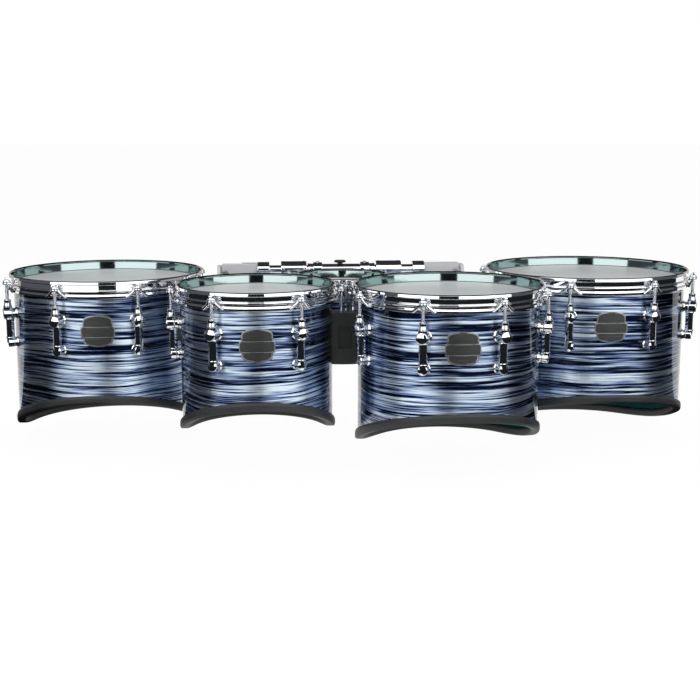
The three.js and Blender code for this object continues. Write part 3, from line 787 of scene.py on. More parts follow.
@dataclass
class Lug:
    """A chrome lug made along -Y: two posts from the shell, the tube between them and the neck for the rod.

    Depths are below the playing plane and reaches are from the shell. A post's foot, waist and dome are
    shares of its radius, and where its waist ends and its head starts are shares of its reach.
    """

    radius: float
    upper: float = 0.067
    upper_radius: float = 0.0098
    upper_reach: float = 0.0248
    lower: float = 0.1185
    lower_radius: float = 0.0085
    lower_reach: float = 0.0182
    root: float = 0.004
    foot: float = 1.1
    foot_top: float = 0.0010
    waist: float = 0.9
    waist_low: float = 0.0030
    waist_end: float = 0.36
    head_start: float = 0.42
    rim_drop: float = 0.17
    rim_round: float = 0.24
    dome: Point = (0.5, 0.034)
    crown: float = 0.2
    tube_reach: float = 0.0123
    tube_radius: float = 0.0071
    band_sunk: float = 0.001
    band_proud: float = 0.0011
    band_half: float = 0.0012
    rod_reach: float = 0.0153
    neck: tuple[Corner, ...] = (
        (0, -0.067, 0), (0.0074, -0.067, 0), (0.0078, -0.058, 0.0006), (0.0078, -0.0548, 0.0008),
        (0.0066, -0.0534, 0.0012), (0.0058, -0.048, 0.002), (0.0062, -0.0461, 0.0006),
        (0.0062, -0.0435, 0.0008), (0.005, -0.0425, 0.0006), (0, -0.0425, 0),
    )
    steps: int = 28

    def post(self, bm: BMesh, depth: float, radius: float, reach: float) -> None:
        """Adds one post: a foot on the shell, a waist and a domed end.

        Args:
            bm: The mesh that it is added to.
            depth: The post's depth below the playing plane.
            radius: The radius of its head.
            reach: How far it stands out from the shell.
        """
        foot, waist = radius * self.foot, radius * self.waist
        corners = [
            (0, -self.root, 0), (foot, -self.root, 0), (foot, self.foot_top, 0.0006),
            (waist, self.waist_low, 0.003), (waist, reach * self.waist_end, 0.0006),
            (radius, reach * self.head_start, 0.0012),
            (radius, reach - radius * self.rim_drop, radius * self.rim_round),
            (radius * self.dome[0], reach - radius * self.dome[1], radius),
            (radius * self.crown, reach, radius), (0, reach, 0),
        ]
        add_turned(bm, filleted(corners, 5), self.steps, along_y((0, -self.radius, -depth), -1))

    def fill(self, bm: BMesh) -> None:
        """Adds the whole lug.

        Args:
            bm: The mesh that it is added to.
        """
        self.post(bm, self.upper, self.upper_radius, self.upper_reach)
        self.post(bm, self.lower, self.lower_radius, self.lower_reach)
        place = Matrix.Translation((0, -self.radius - self.tube_reach, 0))
        wall, bottom, top = self.tube_radius, -self.lower, -self.upper
        add_turned(bm, [(0, bottom), (wall, bottom), (wall, top), (0, top)], self.steps, place)
        for depth in (self.upper + self.upper_radius, self.lower - self.lower_radius):
            low, high = -depth - self.band_half, -depth + self.band_half
            band = ring_section(wall - self.band_sunk, wall + self.band_proud, low, high, 0.0006)
            add_turned(bm, band, self.steps, place, closed=True)
        place = Matrix.Translation((0, -self.radius - self.rod_reach, 0))
        add_turned(bm, filleted(self.neck), self.steps, place)


@dataclass
class TensionRod:
    """A tension rod with its washer and square key head, made along -Y.

    Its end, seat and top are below the playing plane.
    """

    radius: float
    reach: float = 0.0153
    shank: float = 0.0029
    end: float = 0.072
    seat: float = 0.0125
    washer: float = 0.0066
    washer_height: float = 0.0022
    flange: float = 0.0052
    flange_height: float = 0.0016
    key: float = 0.0062
    key_sunk: float = 0.0005
    top: float = 0.0045
    steps: int = 20

    def fill(self, bm: BMesh) -> None:
        """Adds the whole rod.

        Args:
            bm: The mesh that it is added to.
        """
        washer_top = -self.seat + self.washer_height
        flange_top = washer_top + self.flange_height
        corners = [
            (0, -self.end, 0), (self.shank, -self.end, 0.0006), (self.shank, -self.seat, 0),
            (self.washer, -self.seat, 0.0006), (self.washer, washer_top, 0.0006),
            (self.flange, washer_top, 0), (self.flange, flange_top, 0.0008), (0, flange_top, 0),
        ]
        y, half = -self.radius - self.reach, self.key / 2
        add_turned(bm, filleted(corners, 2), self.steps, Matrix.Translation((0, y, 0)))
        add_block(bm, (-half, y - half, flange_top - self.key_sunk), (half, y + half, -self.top), 0.0009)


@dataclass
class Claw:
    """A pressed claw made along -Y: a seat for the rod, a web back to the hoop and two legs to its skirt.

    A leg's start and bend are from the middle of the seat's top, and its end is from the shell.
    """

    radius: float
    rod_reach: float = 0.0153
    seat: float = 0.0128
    seat_bore: float = 0.0032
    seat_radius: float = 0.0072
    seat_thick: float = 0.0034
    web_half: float = 0.0052
    web_start: float = 0.003
    web_root: float = 0.0062
    web_top: float = 0.0004
    web_low: float = 0.0056
    leg_start: Place = (0.0048, 0.0006, -0.0022)
    leg_bend: Place = (0.0085, 0.0022, -0.0078)
    leg_end: Place = (0.0182, -0.0092, -0.0272)
    leg_thin: Point = (0.0017, 0.0021)
    leg_growth: Point = (0.0009, 0.0007)
    leg_steps: int = 8
    leg_sides: int = 12
    steps: int = 24

    def fill(self, bm: BMesh) -> None:
        """Adds the whole claw.

        Args:
            bm: The mesh that it is added to.
        """
        out, seat = -self.radius - self.rod_reach, -self.seat
        section = ring_section(self.seat_bore, self.seat_radius, seat - self.seat_thick, seat, 0.0009)
        add_turned(bm, section, self.steps, Matrix.Translation((0, out, 0)), closed=True)
        near = (-self.web_half, out + self.web_start, seat - self.web_low)
        add_block(bm, near, (self.web_half, -self.radius - self.web_root, seat - self.web_top), 0.0011)
        shares = [step / self.leg_steps for step in range(self.leg_steps + 1)]
        radii = [tuple(a + b * share for a, b in zip(self.leg_thin, self.leg_growth)) for share in shares]
        for side in (-1, 1):
            start, bend, end = (
                Vector((side * x, y + origin, z + level))
                for (x, y, z), origin, level in (
                    (self.leg_start, out, seat), (self.leg_bend, out, seat), (self.leg_end, -self.radius, 0),
                )
            )
            add_sweep(bm, [bowed(start, bend, end, share) for share in shares], radii, self.leg_sides)


@dataclass
class Hoop:
    """A pressed hoop: a rolled top with a slanted face, a straight wall, a ridge and a flared skirt.

    Widths are from the shell's radius, and heights are below the playing plane. A lean tips the wall, and a
    slim hoop's ridge and skirt stand closer to the shell.
    """

    radius: float
    lean: float = -0.0002
    slim: float = 0.0
    top: Point = (0.0053, 0.0056)
    face: Point = (0.0071, 0.0075)
    face_top: float = 0.0017
    face_low: float = 0.0060
    wall: float = 0.0050
    wall_top: float = 0.0070
    wall_low: float = 0.0152
    lip: float = 0.0035
    lip_low: float = 0.0024
    bore: float = 0.0034
    bore_top: float = 0.0044
    foot: float = 0.0021
    foot_top: float = 0.0166
    ridge: float = 0.0084
    ridge_top: float = 0.0160
    ridge_low: float = 0.0186
    neck: float = 0.0070
    neck_top: float = 0.0198
    neck_low: float = 0.0224
    skirt: float = 0.0085
    skirt_inner: float = 0.0067
    flare_low: float = 0.0252
    height: float = 0.029
    seat: float = 0.0214
    seat_end: float = 0.0055
    steps: int = 160

    def formed(self) -> BMesh:
        """The ring, round the Z axis and below the playing plane.

        Returns:
            A bmesh with the ring.
        """
        r = self.radius
        low, wall = r - self.slim, r + self.wall
        corners = [
            (low + self.skirt_inner, -self.height, 0.0006), (low + self.skirt, -self.height, 0.0006),
            (low + self.skirt, -self.flare_low, 0.0008), (low + self.neck, -self.neck_low, 0.0008),
            (low + self.neck, -self.neck_top, 0.0006), (low + self.ridge, -self.ridge_low, 0.0011),
            (low + self.ridge, -self.ridge_top, 0.0011), (wall + self.lean, -self.wall_low, 0.0009),
            (wall - self.lean, -self.wall_top, 0.0005), (r + self.face[1], -self.face_low, 0.0006),
            (r + self.face[0], -self.face_top, 0.0008), (r + self.top[1], 0, 0.0006),
            (r + self.top[0], 0, 0.0006), (r + self.lip, -self.lip_low, 0.0006),
            (r + self.bore, -self.bore_top, 0.0006), (r + self.foot, -self.foot_top, 0.0004),
            (r + self.foot, -self.seat, 0.0005), (r + self.seat_end, -self.seat, 0.0003),
        ]
        return turned(filleted(corners, 4), self.steps, closed=True)


@dataclass
class Badge:
    """A blank badge: a barrel plate with a sunk face, and a raised band with side tabs."""

    radius: float
    depth: float = 0.085
    half_width: float = 0.025
    half_height: float = 0.0268
    shoulder: float = 0.018
    shoulder_bend: float = 2.3
    thick: float = 0.0018
    band_half: float = 0.0282
    band_top: float = 0.0076
    band_low: float = 0.0114
    step: float = 0.0012
    border: float = 0.0016
    sink: float = 0.0006
    rim_share: float = 0.3
    across: int = 26
    up: int = 8

    def edge(self, x: float) -> float:
        """The plate's half height at a place across it."""
        share = abs(x) / self.half_width
        bow = math.sqrt(max(0.0, 1 - share**self.shoulder_bend))
        return self.shoulder + (self.half_height - self.shoulder) * bow

    def plate(self, bm: BMesh, half: float, low: Height, high: Height, thick: float) -> None:
        """Adds one plate with a sunk face, bent round the shell.

        Args:
            bm: The mesh that it is added to.
            half: The plate's half width.
            low: Its lower edge across its width.
            high: Its upper edge across its width.
            thick: Its thickness.
        """
        part = bmesh.new()
        bmesh.ops.create_grid(part, x_segments=self.across, y_segments=self.up, size=1)
        for vert in part.verts:
            x, share = vert.co.x * half, (vert.co.y + 1) / 2
            vert.co = (x, thick, low(x) * (1 - share) + high(x) * share)
        made = bmesh.ops.extrude_face_region(part, geom=part.faces[:])
        for vert in {v for v in made["geom"] if isinstance(v, bmesh.types.BMVert)}:
            vert.co.y = 0
        front = {f for f in part.faces if all(v.co.y > thick - MERGE for v in f.verts)}
        rim = {e for f in front for e in f.edges if any(g not in front for g in e.link_faces)}
        round_edges(part, list(rim), thick * self.rim_share, 2)
        bmesh.ops.recalc_face_normals(part, faces=part.faces[:])
        front = [f for f in part.faces if all(v.co.y > thick - MERGE for v in f.verts)]
        # Every face takes the lighter second finish, a painted highlight on the border, rims and sides. The
        # sunk face goes back to the first below.
        for face in part.faces:
            face.material_index = 1
        for width in (self.border, self.sink):
            bmesh.ops.inset_region(
                part, faces=front, thickness=width, depth=0, use_boundary=True, use_even_offset=True
            )
        for vert in {v for f in front for v in f.verts}:
            vert.co.y -= self.sink
        for face in front:
            face.material_index = 0
        for vert in part.verts:
            reach, angle = self.radius + GAP + vert.co.y, vert.co.x / self.radius
            vert.co = (reach * math.sin(angle), -reach * math.cos(angle), vert.co.z - self.depth)
        absorb(bm, part)

    def fill(self, bm: BMesh) -> None:
        """Adds the whole badge."""
        self.plate(bm, self.half_width, lambda x: -self.edge(x), self.edge, self.thick)
        raised = self.thick + self.step
        self.plate(bm, self.band_half, lambda x: -self.band_low, lambda x: self.band_top, raised)


@dataclass
class Drum:
    """One drum with its shell, lugs, guard, head, hoop, claws, rods and badge.

    Attributes:
        name: What its CAD nodes' names start with.
        hoop_body: The body of its hoop.
        depth: How far its lower edge is below the playing plane.
        lugs: How many rods it has.
        lug_turn: The first rod's angle from the front, in degrees.
        rise: How far its slanted cut rises.
        cut_share: Where the cut starts to slant.
        rim_drop: How far its rim is below the others.
        badged: Whether it has a badge.
        skip: The angles of rods that a block takes in place of a lug.
        hoop_lean: The lean of its hoop's wall.
        hoop_slim: How much slimmer its hoop is.
    """

    name: str
    hoop_body: str
    depth: float
    lugs: int
    lug_turn: float
    rise: float = 0.0
    cut_share: float = 0.0
    rim_drop: float = 0.0
    badged: bool = True
    skip: tuple[float, ...] = ()
    hoop_lean: float = -0.0002
    hoop_slim: float = 0.0
    wall: float = 0.006
    wrap_share: float = 0.3
    bearing_edge: float = 0.0186
    bearing_outer: Point = (0.0015, 0.0014)
    bearing_inner: float = 0.003
    head_top: float = 0.0175
    head_thick: float = 0.0008
    collar: float = 0.0012
    collar_top: float = 0.0016
    collar_bend: float = 0.0022
    head_ring: float = 0.0051
    ring_top: float = 0.0043
    ring_low: float = 0.0107
    guard_floor: float = 0.0045
    guard_wall: float = 0.0042
    guard_height: float = 0.0145
    guard_bulge: float = 0.0012
    bulge_low: float = 0.3
    bulge_high: float = 0.72
    # Guard faces whose normal points further down than this take the painted shade finish.
    painted_shade_under: float = -0.3
    seat_gap: float = 0.0006
    steps: int = 144
    centre: Vector = field(init=False)
    radius: float = field(init=False)
    plane: float = field(init=False)

    def __post_init__(self) -> None:
        """Reads the drum's place and radius from the frame."""
        low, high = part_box(self.name + "_head")
        self.centre = (low + high) / 2
        self.radius = (high.x - low.x) / 2 - self.head_ring
        self.plane = high.z + self.head_top + self.rim_drop

    @property
    def here(self) -> Matrix:
        """The matrix from the drum's own place, with the playing plane at height 0, to the frame."""
        return Matrix.Translation((self.centre.x, self.centre.y, self.plane))

    @property
    def rim(self) -> Matrix:
        """The same for what hangs on the rim, which is lower on a small drum."""
        return Matrix.Translation((0, 0, -self.rim_drop)) @ self.here

    def cut(self, bm: BMesh) -> None:
        """Cuts the slant into the lower edge of a piece and sets it in its place."""
        reach = self.guard_height + GAP
        SlantCut(self.radius, self.rise, self.cut_share).bend(bm, self.depth, reach)
        bm.transform(self.here)

    def within(self, radius: float) -> Chooser:
        """A choice of materials: the first outside a radius and the second inside it.

        Args:
            radius: The radius where the second material starts.

        Returns:
            The function that gives a face's material.
        """

        def choose(face: bmesh.types.BMFace) -> int:
            """The face's material."""
            reach = (face.calc_center_median() - self.centre).to_2d().length
            return 0 if reach > radius else 1

        return choose

    def around(self, fill: Filler, angles: Iterable[float]) -> BMesh:
        """Repeats a piece made along -Y round the drum's rim.

        Args:
            fill: What fills one copy.
            angles: Where the copies go, in degrees.

        Returns:
            A bmesh with the copies.
        """
        one, bm = bmesh.new(), bmesh.new()
        fill(one)
        for angle in angles:
            absorb(bm, one.copy(), self.rim @ about_z(angle))
        one.free()
        return bm

    def piece(
        self, bench: Bench, bm: BMesh, word: str, node: str, slot: Slot, *materials: Material,
        body: str = ROOT, choose: Chooser | None = None,
    ) -> None:
        """Makes a bmesh a piece of the drum, whose name comes before its own and its node's."""
        bench.piece(bm, f"{self.name}_{word}", f"{self.name}_{node}", body, slot, *materials, choose=choose)

    def shell(self, bench: Bench) -> None:
        """Makes the wrapped shell with its bearing edge and slanted lower edge.

        Args:
            bench: What finishes the pieces.
        """
        inner, edge = self.radius - self.wall, -self.bearing_edge - self.rim_drop
        bottom = -self.depth + self.guard_floor + self.seat_gap
        corners = [
            (inner, bottom, 0), (self.radius, bottom, 0), (self.radius, edge - self.bearing_outer[1], 0.0008),
            (self.radius - self.bearing_outer[0], edge, 0.0008), (inner, edge - self.bearing_inner, 0.0004),
        ]
        bm = turned(filleted(corners), self.steps, closed=True)
        self.cut(bm)
        wrap, maple = bench.finishes.wrap, bench.finishes.maple
        lined = self.within(self.radius - self.wall * self.wrap_share)
        self.piece(bench, bm, "wrapped_shell", "shell", Slot.SHELL, wrap, maple, choose=lined)

    def guard(self, bench: Bench) -> None:
        """Makes the soft channel on the lower edge, with bulging lips and painted shade inside and underneath.

        Args:
            bench: What finishes the pieces.
        """
        outer, inner = self.radius + GAP, self.radius - self.wall - GAP
        high, floor, bulge = self.guard_height, self.guard_floor, self.guard_bulge
        outside, inside = outer + self.guard_wall, inner - self.guard_wall
        corners = [
            (inside, 0, 0.0044), (outside - bulge, 0, 0.0040), (outside, high * self.bulge_low, 0.003),
            (outside, high * self.bulge_high, 0.003), (outside - bulge, high, 0.0014), (outer, high, 0.0004),
            (outer, floor, 0.0004), (inner, floor, 0.0004), (inner, high, 0.0004),
            (inside + bulge, high, 0.0014), (inside, high * self.bulge_high, 0.003),
        ]
        bm = turned([(r, h - self.depth) for r, h in filleted(corners, 4)], self.steps, closed=True)
        self.cut(bm)
        # The second finish is painted shade: near-black rubber on the inner lip and on the faces that point
        # down.
        rubber, lip = bench.finishes.rubber, bench.finishes.guard_painted_shade
        lined = self.within(inner)
        self.piece(
            bench, bm, "rubber_guard", "edge_guard", Slot.RUBBER, rubber, lip,
            choose=lambda face: 1 if face.normal.z < self.painted_shade_under else lined(face),
        )

    def head(self, bench: Bench) -> None:
        """Makes the head: the film, the collar over the bearing edge and the flesh ring.

        Args:
            bench: What finishes the pieces.
        """
        hug, ring, top = self.radius + GAP, self.radius + self.head_ring, -self.head_top
        under, low, high = top - self.head_thick, top - self.ring_low, top - self.ring_top
        corners = [
            (0, under, 0), (hug, under, 0.0006), (hug, low, 0.0008), (ring, low, 0.0012),
            (ring, high, 0.0012), (hug + self.collar, high, 0.0006),
            (hug + self.collar, top - self.collar_top, 0.0012),
            (hug - self.collar_bend, top, 0.0016), (0, top, 0),
        ]
        bm = turned(filleted(corners, 4), self.steps)
        bm.transform(self.rim)
        self.piece(bench, bm, "coated_head", "head", Slot.FILM, bench.finishes.film)

    def hardware(self, bench: Bench) -> None:
        """Makes the hoop with its claws and rods, and the lugs.

        Args:
            bench: What finishes the pieces.
        """
        chrome, rod, inner_painted_reflection = bench.finishes.chrome, bench.finishes.rods, bench.finishes.hoop_painted_reflection
        slot, body = Slot.CHROME, self.hoop_body
        angles = [self.lug_turn + i * 360 / self.lugs for i in range(self.lugs)]
        ring = Hoop(self.radius, self.hoop_lean, self.hoop_slim).formed()
        ring.transform(self.rim)
        # Faces inside the wall take the second finish, chrome tinted teal as a painted reflection.
        lined = self.within(self.radius + Hoop.wall - GAP)
        self.piece(bench, ring, "hoop_ring", "hoop", slot, chrome, inner_painted_reflection, body=body, choose=lined)
        claws = self.around(Claw(self.radius).fill, angles)
        self.piece(bench, claws, "claws", "hoop", slot, chrome, body=body)
        rods = self.around(TensionRod(self.radius).fill, angles)
        self.piece(bench, rods, "tension_rods", "hoop", slot, rod, body=body)
        lugs = self.around(Lug(self.radius).fill, [a for a in angles if a not in self.skip])
        self.piece(bench, lugs, "lugs", "shell", slot, chrome)

    def badge(self, bench: Bench) -> None:
        """Makes the blank badge, on the front of the shell.

        Args:
            bench: What finishes the pieces.
        """
        bm = bmesh.new()
        Badge(self.radius).fill(bm)
        bm.transform(self.here)
        finishes = bench.finishes
        self.piece(bench, bm, "blank_badge", "badge", Slot.BADGE, finishes.badge, finishes.badge_painted_highlight)

    def build(self, bench: Bench) -> None:
        """Makes every piece of the drum.

        Args:
            bench: What finishes the pieces.
        """
        self.shell(bench)
        self.guard(bench)
        self.head(bench)
        self.hardware(bench)
        if self.badged:
            self.badge(bench)


@dataclass
class Blocks:
    """The moulded blocks that join the shells."""

    nodes: tuple[str, ...] = (
        "centre_block", "left_bridge_block", "right_bridge_block", "shot_bridge_left", "shot_bridge_right",
    )
    edge: float = 0.0016

    def build(self, bench: Bench) -> None:
        """Makes every block."""
        for node in self.nodes:
            bench.softened(node, Slot.BLACK, bench.finishes.black, self.edge)


@dataclass
class CarrierBar:
    """The bar behind the drums.

    Places along X are from the bar's middle, and heights and depths from its axis. A fitting's own length
    comes from its CAD node, and its turned sizes are radii.
    """

    bore: float = 0.0091
    rod: float = 0.0085
    sleeve: float = 0.0104
    knob_stem: float = 0.003
    knob_shoulder: float = 0.0055
    knob_shoulder_low: float = 0.0109
    knob_thick: float = 0.0040
    knob_sunk: float = 0.0002
    rib: float = 0.001
    rib_height: float = 0.0026
    rib_low: float = 0.0037
    ribs: int = 24
    rib_steps: int = 8
    receiver: float = 0.016
    band_proud: float = 0.0005
    band_sunk: float = 0.001
    band_place: float = 0.005
    band_half: float = 0.0012
    socket: float = 0.012
    socket_bore: float = 0.0066
    socket_y: float = 0.028
    socket_top: float = 0.0056
    web_half: float = 0.007
    web_y: Point = (0.012, 0.020)
    web_z: Point = (-0.0155, -0.0005)
    boss: float = 0.007
    boss_bore: float = 0.0043
    boss_reach: Point = (0.0085, 0.019)
    wing_z: float = -0.0384
    wing_screw: float = 0.0039
    wing_reach: Point = (0.007, 0.034)
    wing: float = 0.0032
    wing_half: float = 0.019
    collar: float = 0.0136
    collar_length: float = 0.017
    collar_neck: float = 0.0112
    collar_lip: float = 0.0116
    lip_length: float = 0.004
    grub: float = 0.0034
    grub_socket: Point = (0.0017, 0.0012)
    knuckle: float = 0.015
    knuckle_length: float = 0.0224
    tab_half: float = 0.013
    tab_y: Point = (0.0053, 0.0113)
    bolt_shank: float = 0.003
    bolt_head: float = 0.0056
    bolt_head_height: float = 0.004
    bolt_crown: Point = (0.0044, 0.0012)
    bolt_socket: Point = (0.0022, 0.002)
    bolt_steps: int = 28
    overlap: float = 0.001
    steps: int = 48
    small_steps: int = 24
    axis: Vector = field(init=False)

    def __post_init__(self) -> None:
        """Reads the bar's middle from the frame."""
        low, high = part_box("cross_rod")
        self.axis = (low + high) / 2

    @property
    def here(self) -> Matrix:
        """The matrix from the bar's own place to the frame."""
        return Matrix.Translation(self.axis)

    def own_box(self, node: str) -> tuple[Vector, Vector]:
        """A CAD node's box, from the bar's middle."""
        low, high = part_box(node)
        return low - self.axis, high - self.axis

    def span(self, node: str) -> tuple[int, float, float]:
        """A fitting's side, and how far from the bar's middle it starts and ends."""
        low, high = self.own_box(node)
        near, far = sorted((abs(low.x), abs(high.x)))
        return (1 if high.x > 0 else -1), near, far

    def tube(
        self, bm: BMesh, outer: float, start: float, end: float, edge: float, inner: float | None = None
    ) -> None:
        """Adds a tube along the bar.

        Args:
            bm: The mesh that it is added to.
            outer: Its outer radius.
            start: The one end's place along X.
            end: The other end's place.
            edge: The radius of its edges.
            inner: Its inner radius, where that isn't the fittings' bore.
        """
        low, high = sorted((start, end))
        section = ring_section(inner or self.bore, outer, 0, high - low, edge)
        add_turned(bm, section, self.steps, self.here @ along_x(low), closed=True)

    def cross_rod(self, bench: Bench) -> None:
        """Makes the rod through all the fittings.

        Args:
            bench: What finishes the pieces.
        """
        low, high = self.own_box("cross_rod")
        bm = turned(rounded_bar(self.rod, high.x - low.x, 0.0008), self.steps)
        bm.transform(self.here @ along_x(low.x))
        bench.piece(bm, "polished_cross_rod", "cross_rod", ROOT, Slot.CHROME, bench.finishes.chrome)

    def middle(self, bench: Bench) -> None:
        """Makes the sleeve and the knob that locks the tilt.

        Args:
            bench: What finishes the pieces.
        """
        low, high = self.own_box("centre_sleeve")
        bm = bmesh.new()
        self.tube(bm, self.sleeve, low.x, high.x, 0.0007)
        bench.piece(bm, "polished_sleeve", "centre_sleeve", TILT_BAR, Slot.CHROME, bench.finishes.chrome)
        low, high = self.own_box("tilt_lock_knob")
        centre, cap = (low + high) / 2, (high.x - low.x) / 2
        place = self.here @ Matrix.Translation((centre.x, centre.y, 0))
        under = high.z - self.knob_thick
        step, top = self.knob_shoulder_low, under + self.knob_sunk
        stem = [
            (0, low.z, 0), (self.knob_stem, low.z, 0), (self.knob_stem, step, 0),
            (self.knob_shoulder, step, 0.0006), (self.knob_shoulder, top, 0), (0, top, 0),
        ]
        bm = bmesh.new()
        add_turned(bm, filleted(stem, 2), self.steps, place)
        rim = rounded_bar(cap - self.rib / 2, self.knob_thick, 0.0014, 4)
        add_turned(bm, rim, self.steps, place @ Matrix.Translation((0, 0, under)))
        rib = Matrix.Translation((cap - self.rib, 0, high.z - self.rib_low))
        for i in range(self.ribs):
            turn = Matrix.Rotation(i * math.tau / self.ribs, 4, "Z") @ rib
            add_turned(bm, rounded_bar(self.rib, self.rib_height, 0.0004, 2), self.rib_steps, place @ turn)
        bench.piece(bm, "grip_knob", "tilt_lock_knob", LOCK_KNOB, Slot.KNOB, bench.finishes.knob)

    def receiver_half(self, bench: Bench, word: str) -> None:
        """Makes one receiver, with its barrel, its upright socket and its screw boss, and the wing screw.

        Args:
            bench: What finishes the pieces.
            word: Its side, which its nodes' names start with.
        """
        chrome = bench.finishes.chrome
        low, high = self.own_box(word + "_receiver")
        middle = (low.x + high.x) / 2
        bm = bmesh.new()
        self.tube(bm, self.receiver, low.x, high.x, 0.0011)
        outer, inner = self.receiver + self.band_proud, self.receiver - self.band_sunk
        for place in (low.x + self.band_place, high.x - self.band_place):
            self.tube(bm, outer, place - self.band_half, place + self.band_half, 0.0004, inner)
        socket = ring_section(self.socket_bore, self.socket, low.z, self.socket_top, 0.001)
        upright = Matrix.Translation((middle, self.socket_y, 0))
        add_turned(bm, socket, self.steps, self.here @ upright, closed=True)
        web = [(middle + side * self.web_half, y, z) for side, y, z in zip((-1, 1), self.web_y, self.web_z)]
        add_block(bm, *web, 0.0015, self.here)
        boss = ring_section(self.boss_bore, self.boss, *self.boss_reach, 0.0008)
        place = self.here @ along_y((middle, self.socket_y, self.wing_z))
        add_turned(bm, boss, self.steps, place, closed=True)
        bench.piece(bm, word + "_receiver_body", word + "_receiver", TILT_BAR, Slot.CHROME, chrome)
        tip, end = self.wing_reach
        bm = bmesh.new()
        screw = rounded_bar(self.wing_screw, end - tip, 0.0008)
        add_turned(bm, screw, self.steps, place @ Matrix.Translation((0, 0, tip)))
        wing = rounded_bar(self.wing, 2 * self.wing_half, 0.0016, 4)
        across = Matrix.Translation((middle, self.socket_y + end - self.wing, self.wing_z))
        add_turned(bm, wing, self.small_steps, self.here @ across @ along_x(-self.wing_half))
        bench.piece(bm, word + "_wing_screw", word + "_socket_screw", "screw_" + word, Slot.CHROME, chrome)

    def collar_half(self, bench: Bench, word: str) -> None:
        """Makes one collar with its neck, and its screw.

        Args:
            bench: What finishes the pieces.
            word: Its side, which its nodes' names start with.
        """
        side, near, far = self.span(word + "_collar")
        step = near + self.collar_length
        bm = bmesh.new()
        for radius, start, end, edge in (
            (self.collar, near, step, 0.0009),
            (self.collar_neck, step - self.overlap, far, 0.0009),
            (self.collar_lip, far - self.lip_length, far, 0.0007),
        ):
            self.tube(bm, radius, side * start, side * end, edge)
        chrome, steel = bench.finishes.chrome, bench.finishes.steel
        bench.piece(bm, word + "_collar_body", word + "_collar", TILT_BAR, Slot.CHROME, chrome)
        low, high = self.own_box(word + "_collar_screw")
        centre, (socket, drop) = (low + high) / 2, self.grub_socket
        corners = [
            (0, low.z, 0), (self.grub, low.z, 0), (self.grub, high.z, 0.0008), (socket, high.z, 0.0003),
            (socket, high.z - drop, 0), (0, high.z - drop, 0),
        ]
        bm = turned(filleted(corners), self.small_steps)
        bm.transform(self.here @ Matrix.Translation((centre.x, centre.y, 0)))
        bench.piece(bm, word + "_grub_screw", word + "_collar_screw", TILT_BAR, Slot.STEEL, steel)

    def knuckle_half(self, bench: Bench, word: str) -> None:
        """Makes one knuckle: its barrel and the tab behind the plate.

        Args:
            bench: What finishes the pieces.
            word: Its side, which its nodes' names start with.
        """
        side, near, far = self.span(word + "_knuckle")
        bm = bmesh.new()
        self.tube(bm, self.knuckle, side * near, side * (near + self.knuckle_length), 0.0012)
        a, b = sorted((side * near, side * far))
        (front, back), half = self.tab_y, self.tab_half
        add_block(bm, (a, front, -half), (b, back, half), 0.0014, self.here)
        chrome = bench.finishes.chrome
        bench.piece(bm, word + "_knuckle_body", word + "_knuckle", ROOT, Slot.CHROME, chrome)

    def bolt(self, bench: Bench, node: str, towards: int) -> None:
        """Makes one bolt with a button head.

        Args:
            bench: What finishes the piece.
            node: The CAD bolt that it stands for.
            towards: 1 where its head is on the player's side, -1 on the audience's.
        """
        low, high = self.own_box(node)
        centre, length = (low + high) / 2, high.y - low.y
        (crown, edge), (socket, drop) = self.bolt_crown, self.bolt_socket
        under = length - self.bolt_head_height
        corners = [
            (0, 0, 0), (self.bolt_shank, 0, 0.0004), (self.bolt_shank, under, 0),
            (self.bolt_head, under, 0.0003), (self.bolt_head, length - edge, 0.0009), (crown, length, 0.0009),
            (socket, length, 0.0003), (socket, length - drop, 0), (0, length - drop, 0),
        ]
        start = low.y if towards > 0 else high.y
        bm = turned(filleted(corners), self.bolt_steps)
        bm.transform(self.here @ along_y((centre.x, start, centre.z), towards))
        bench.piece(bm, node + "_dressed", node, ROOT, Slot.STEEL, bench.finishes.steel)

    def build(self, bench: Bench) -> None:
        """Makes every piece of the bar.

        Args:
            bench: What finishes the pieces.
        """
        self.cross_rod(bench)
        self.middle(bench)
        for word in ("left", "right"):
            self.receiver_half(bench, word)
            self.collar_half(bench, word)
            self.knuckle_half(bench, word)
            for node, edge in ((word + "_bracket", 0.0011), (word + "_outer_arm", 0.0009)):
                bench.softened(node, Slot.ALUMINIUM, bench.finishes.aluminium, edge)
            for number in (1, 2):
                self.bolt(bench, f"{word}_knuckle_bolt_{number}", 1)
            self.bolt(bench, word + "_arm_bolt", -1)


@dataclass(frozen=True)
class Lamp:
    """One soft square lamp: where it stands round the target, its width and its power in watts."""

    name: str
    azimuth: float
    elevation: float
    width: float
    power: float


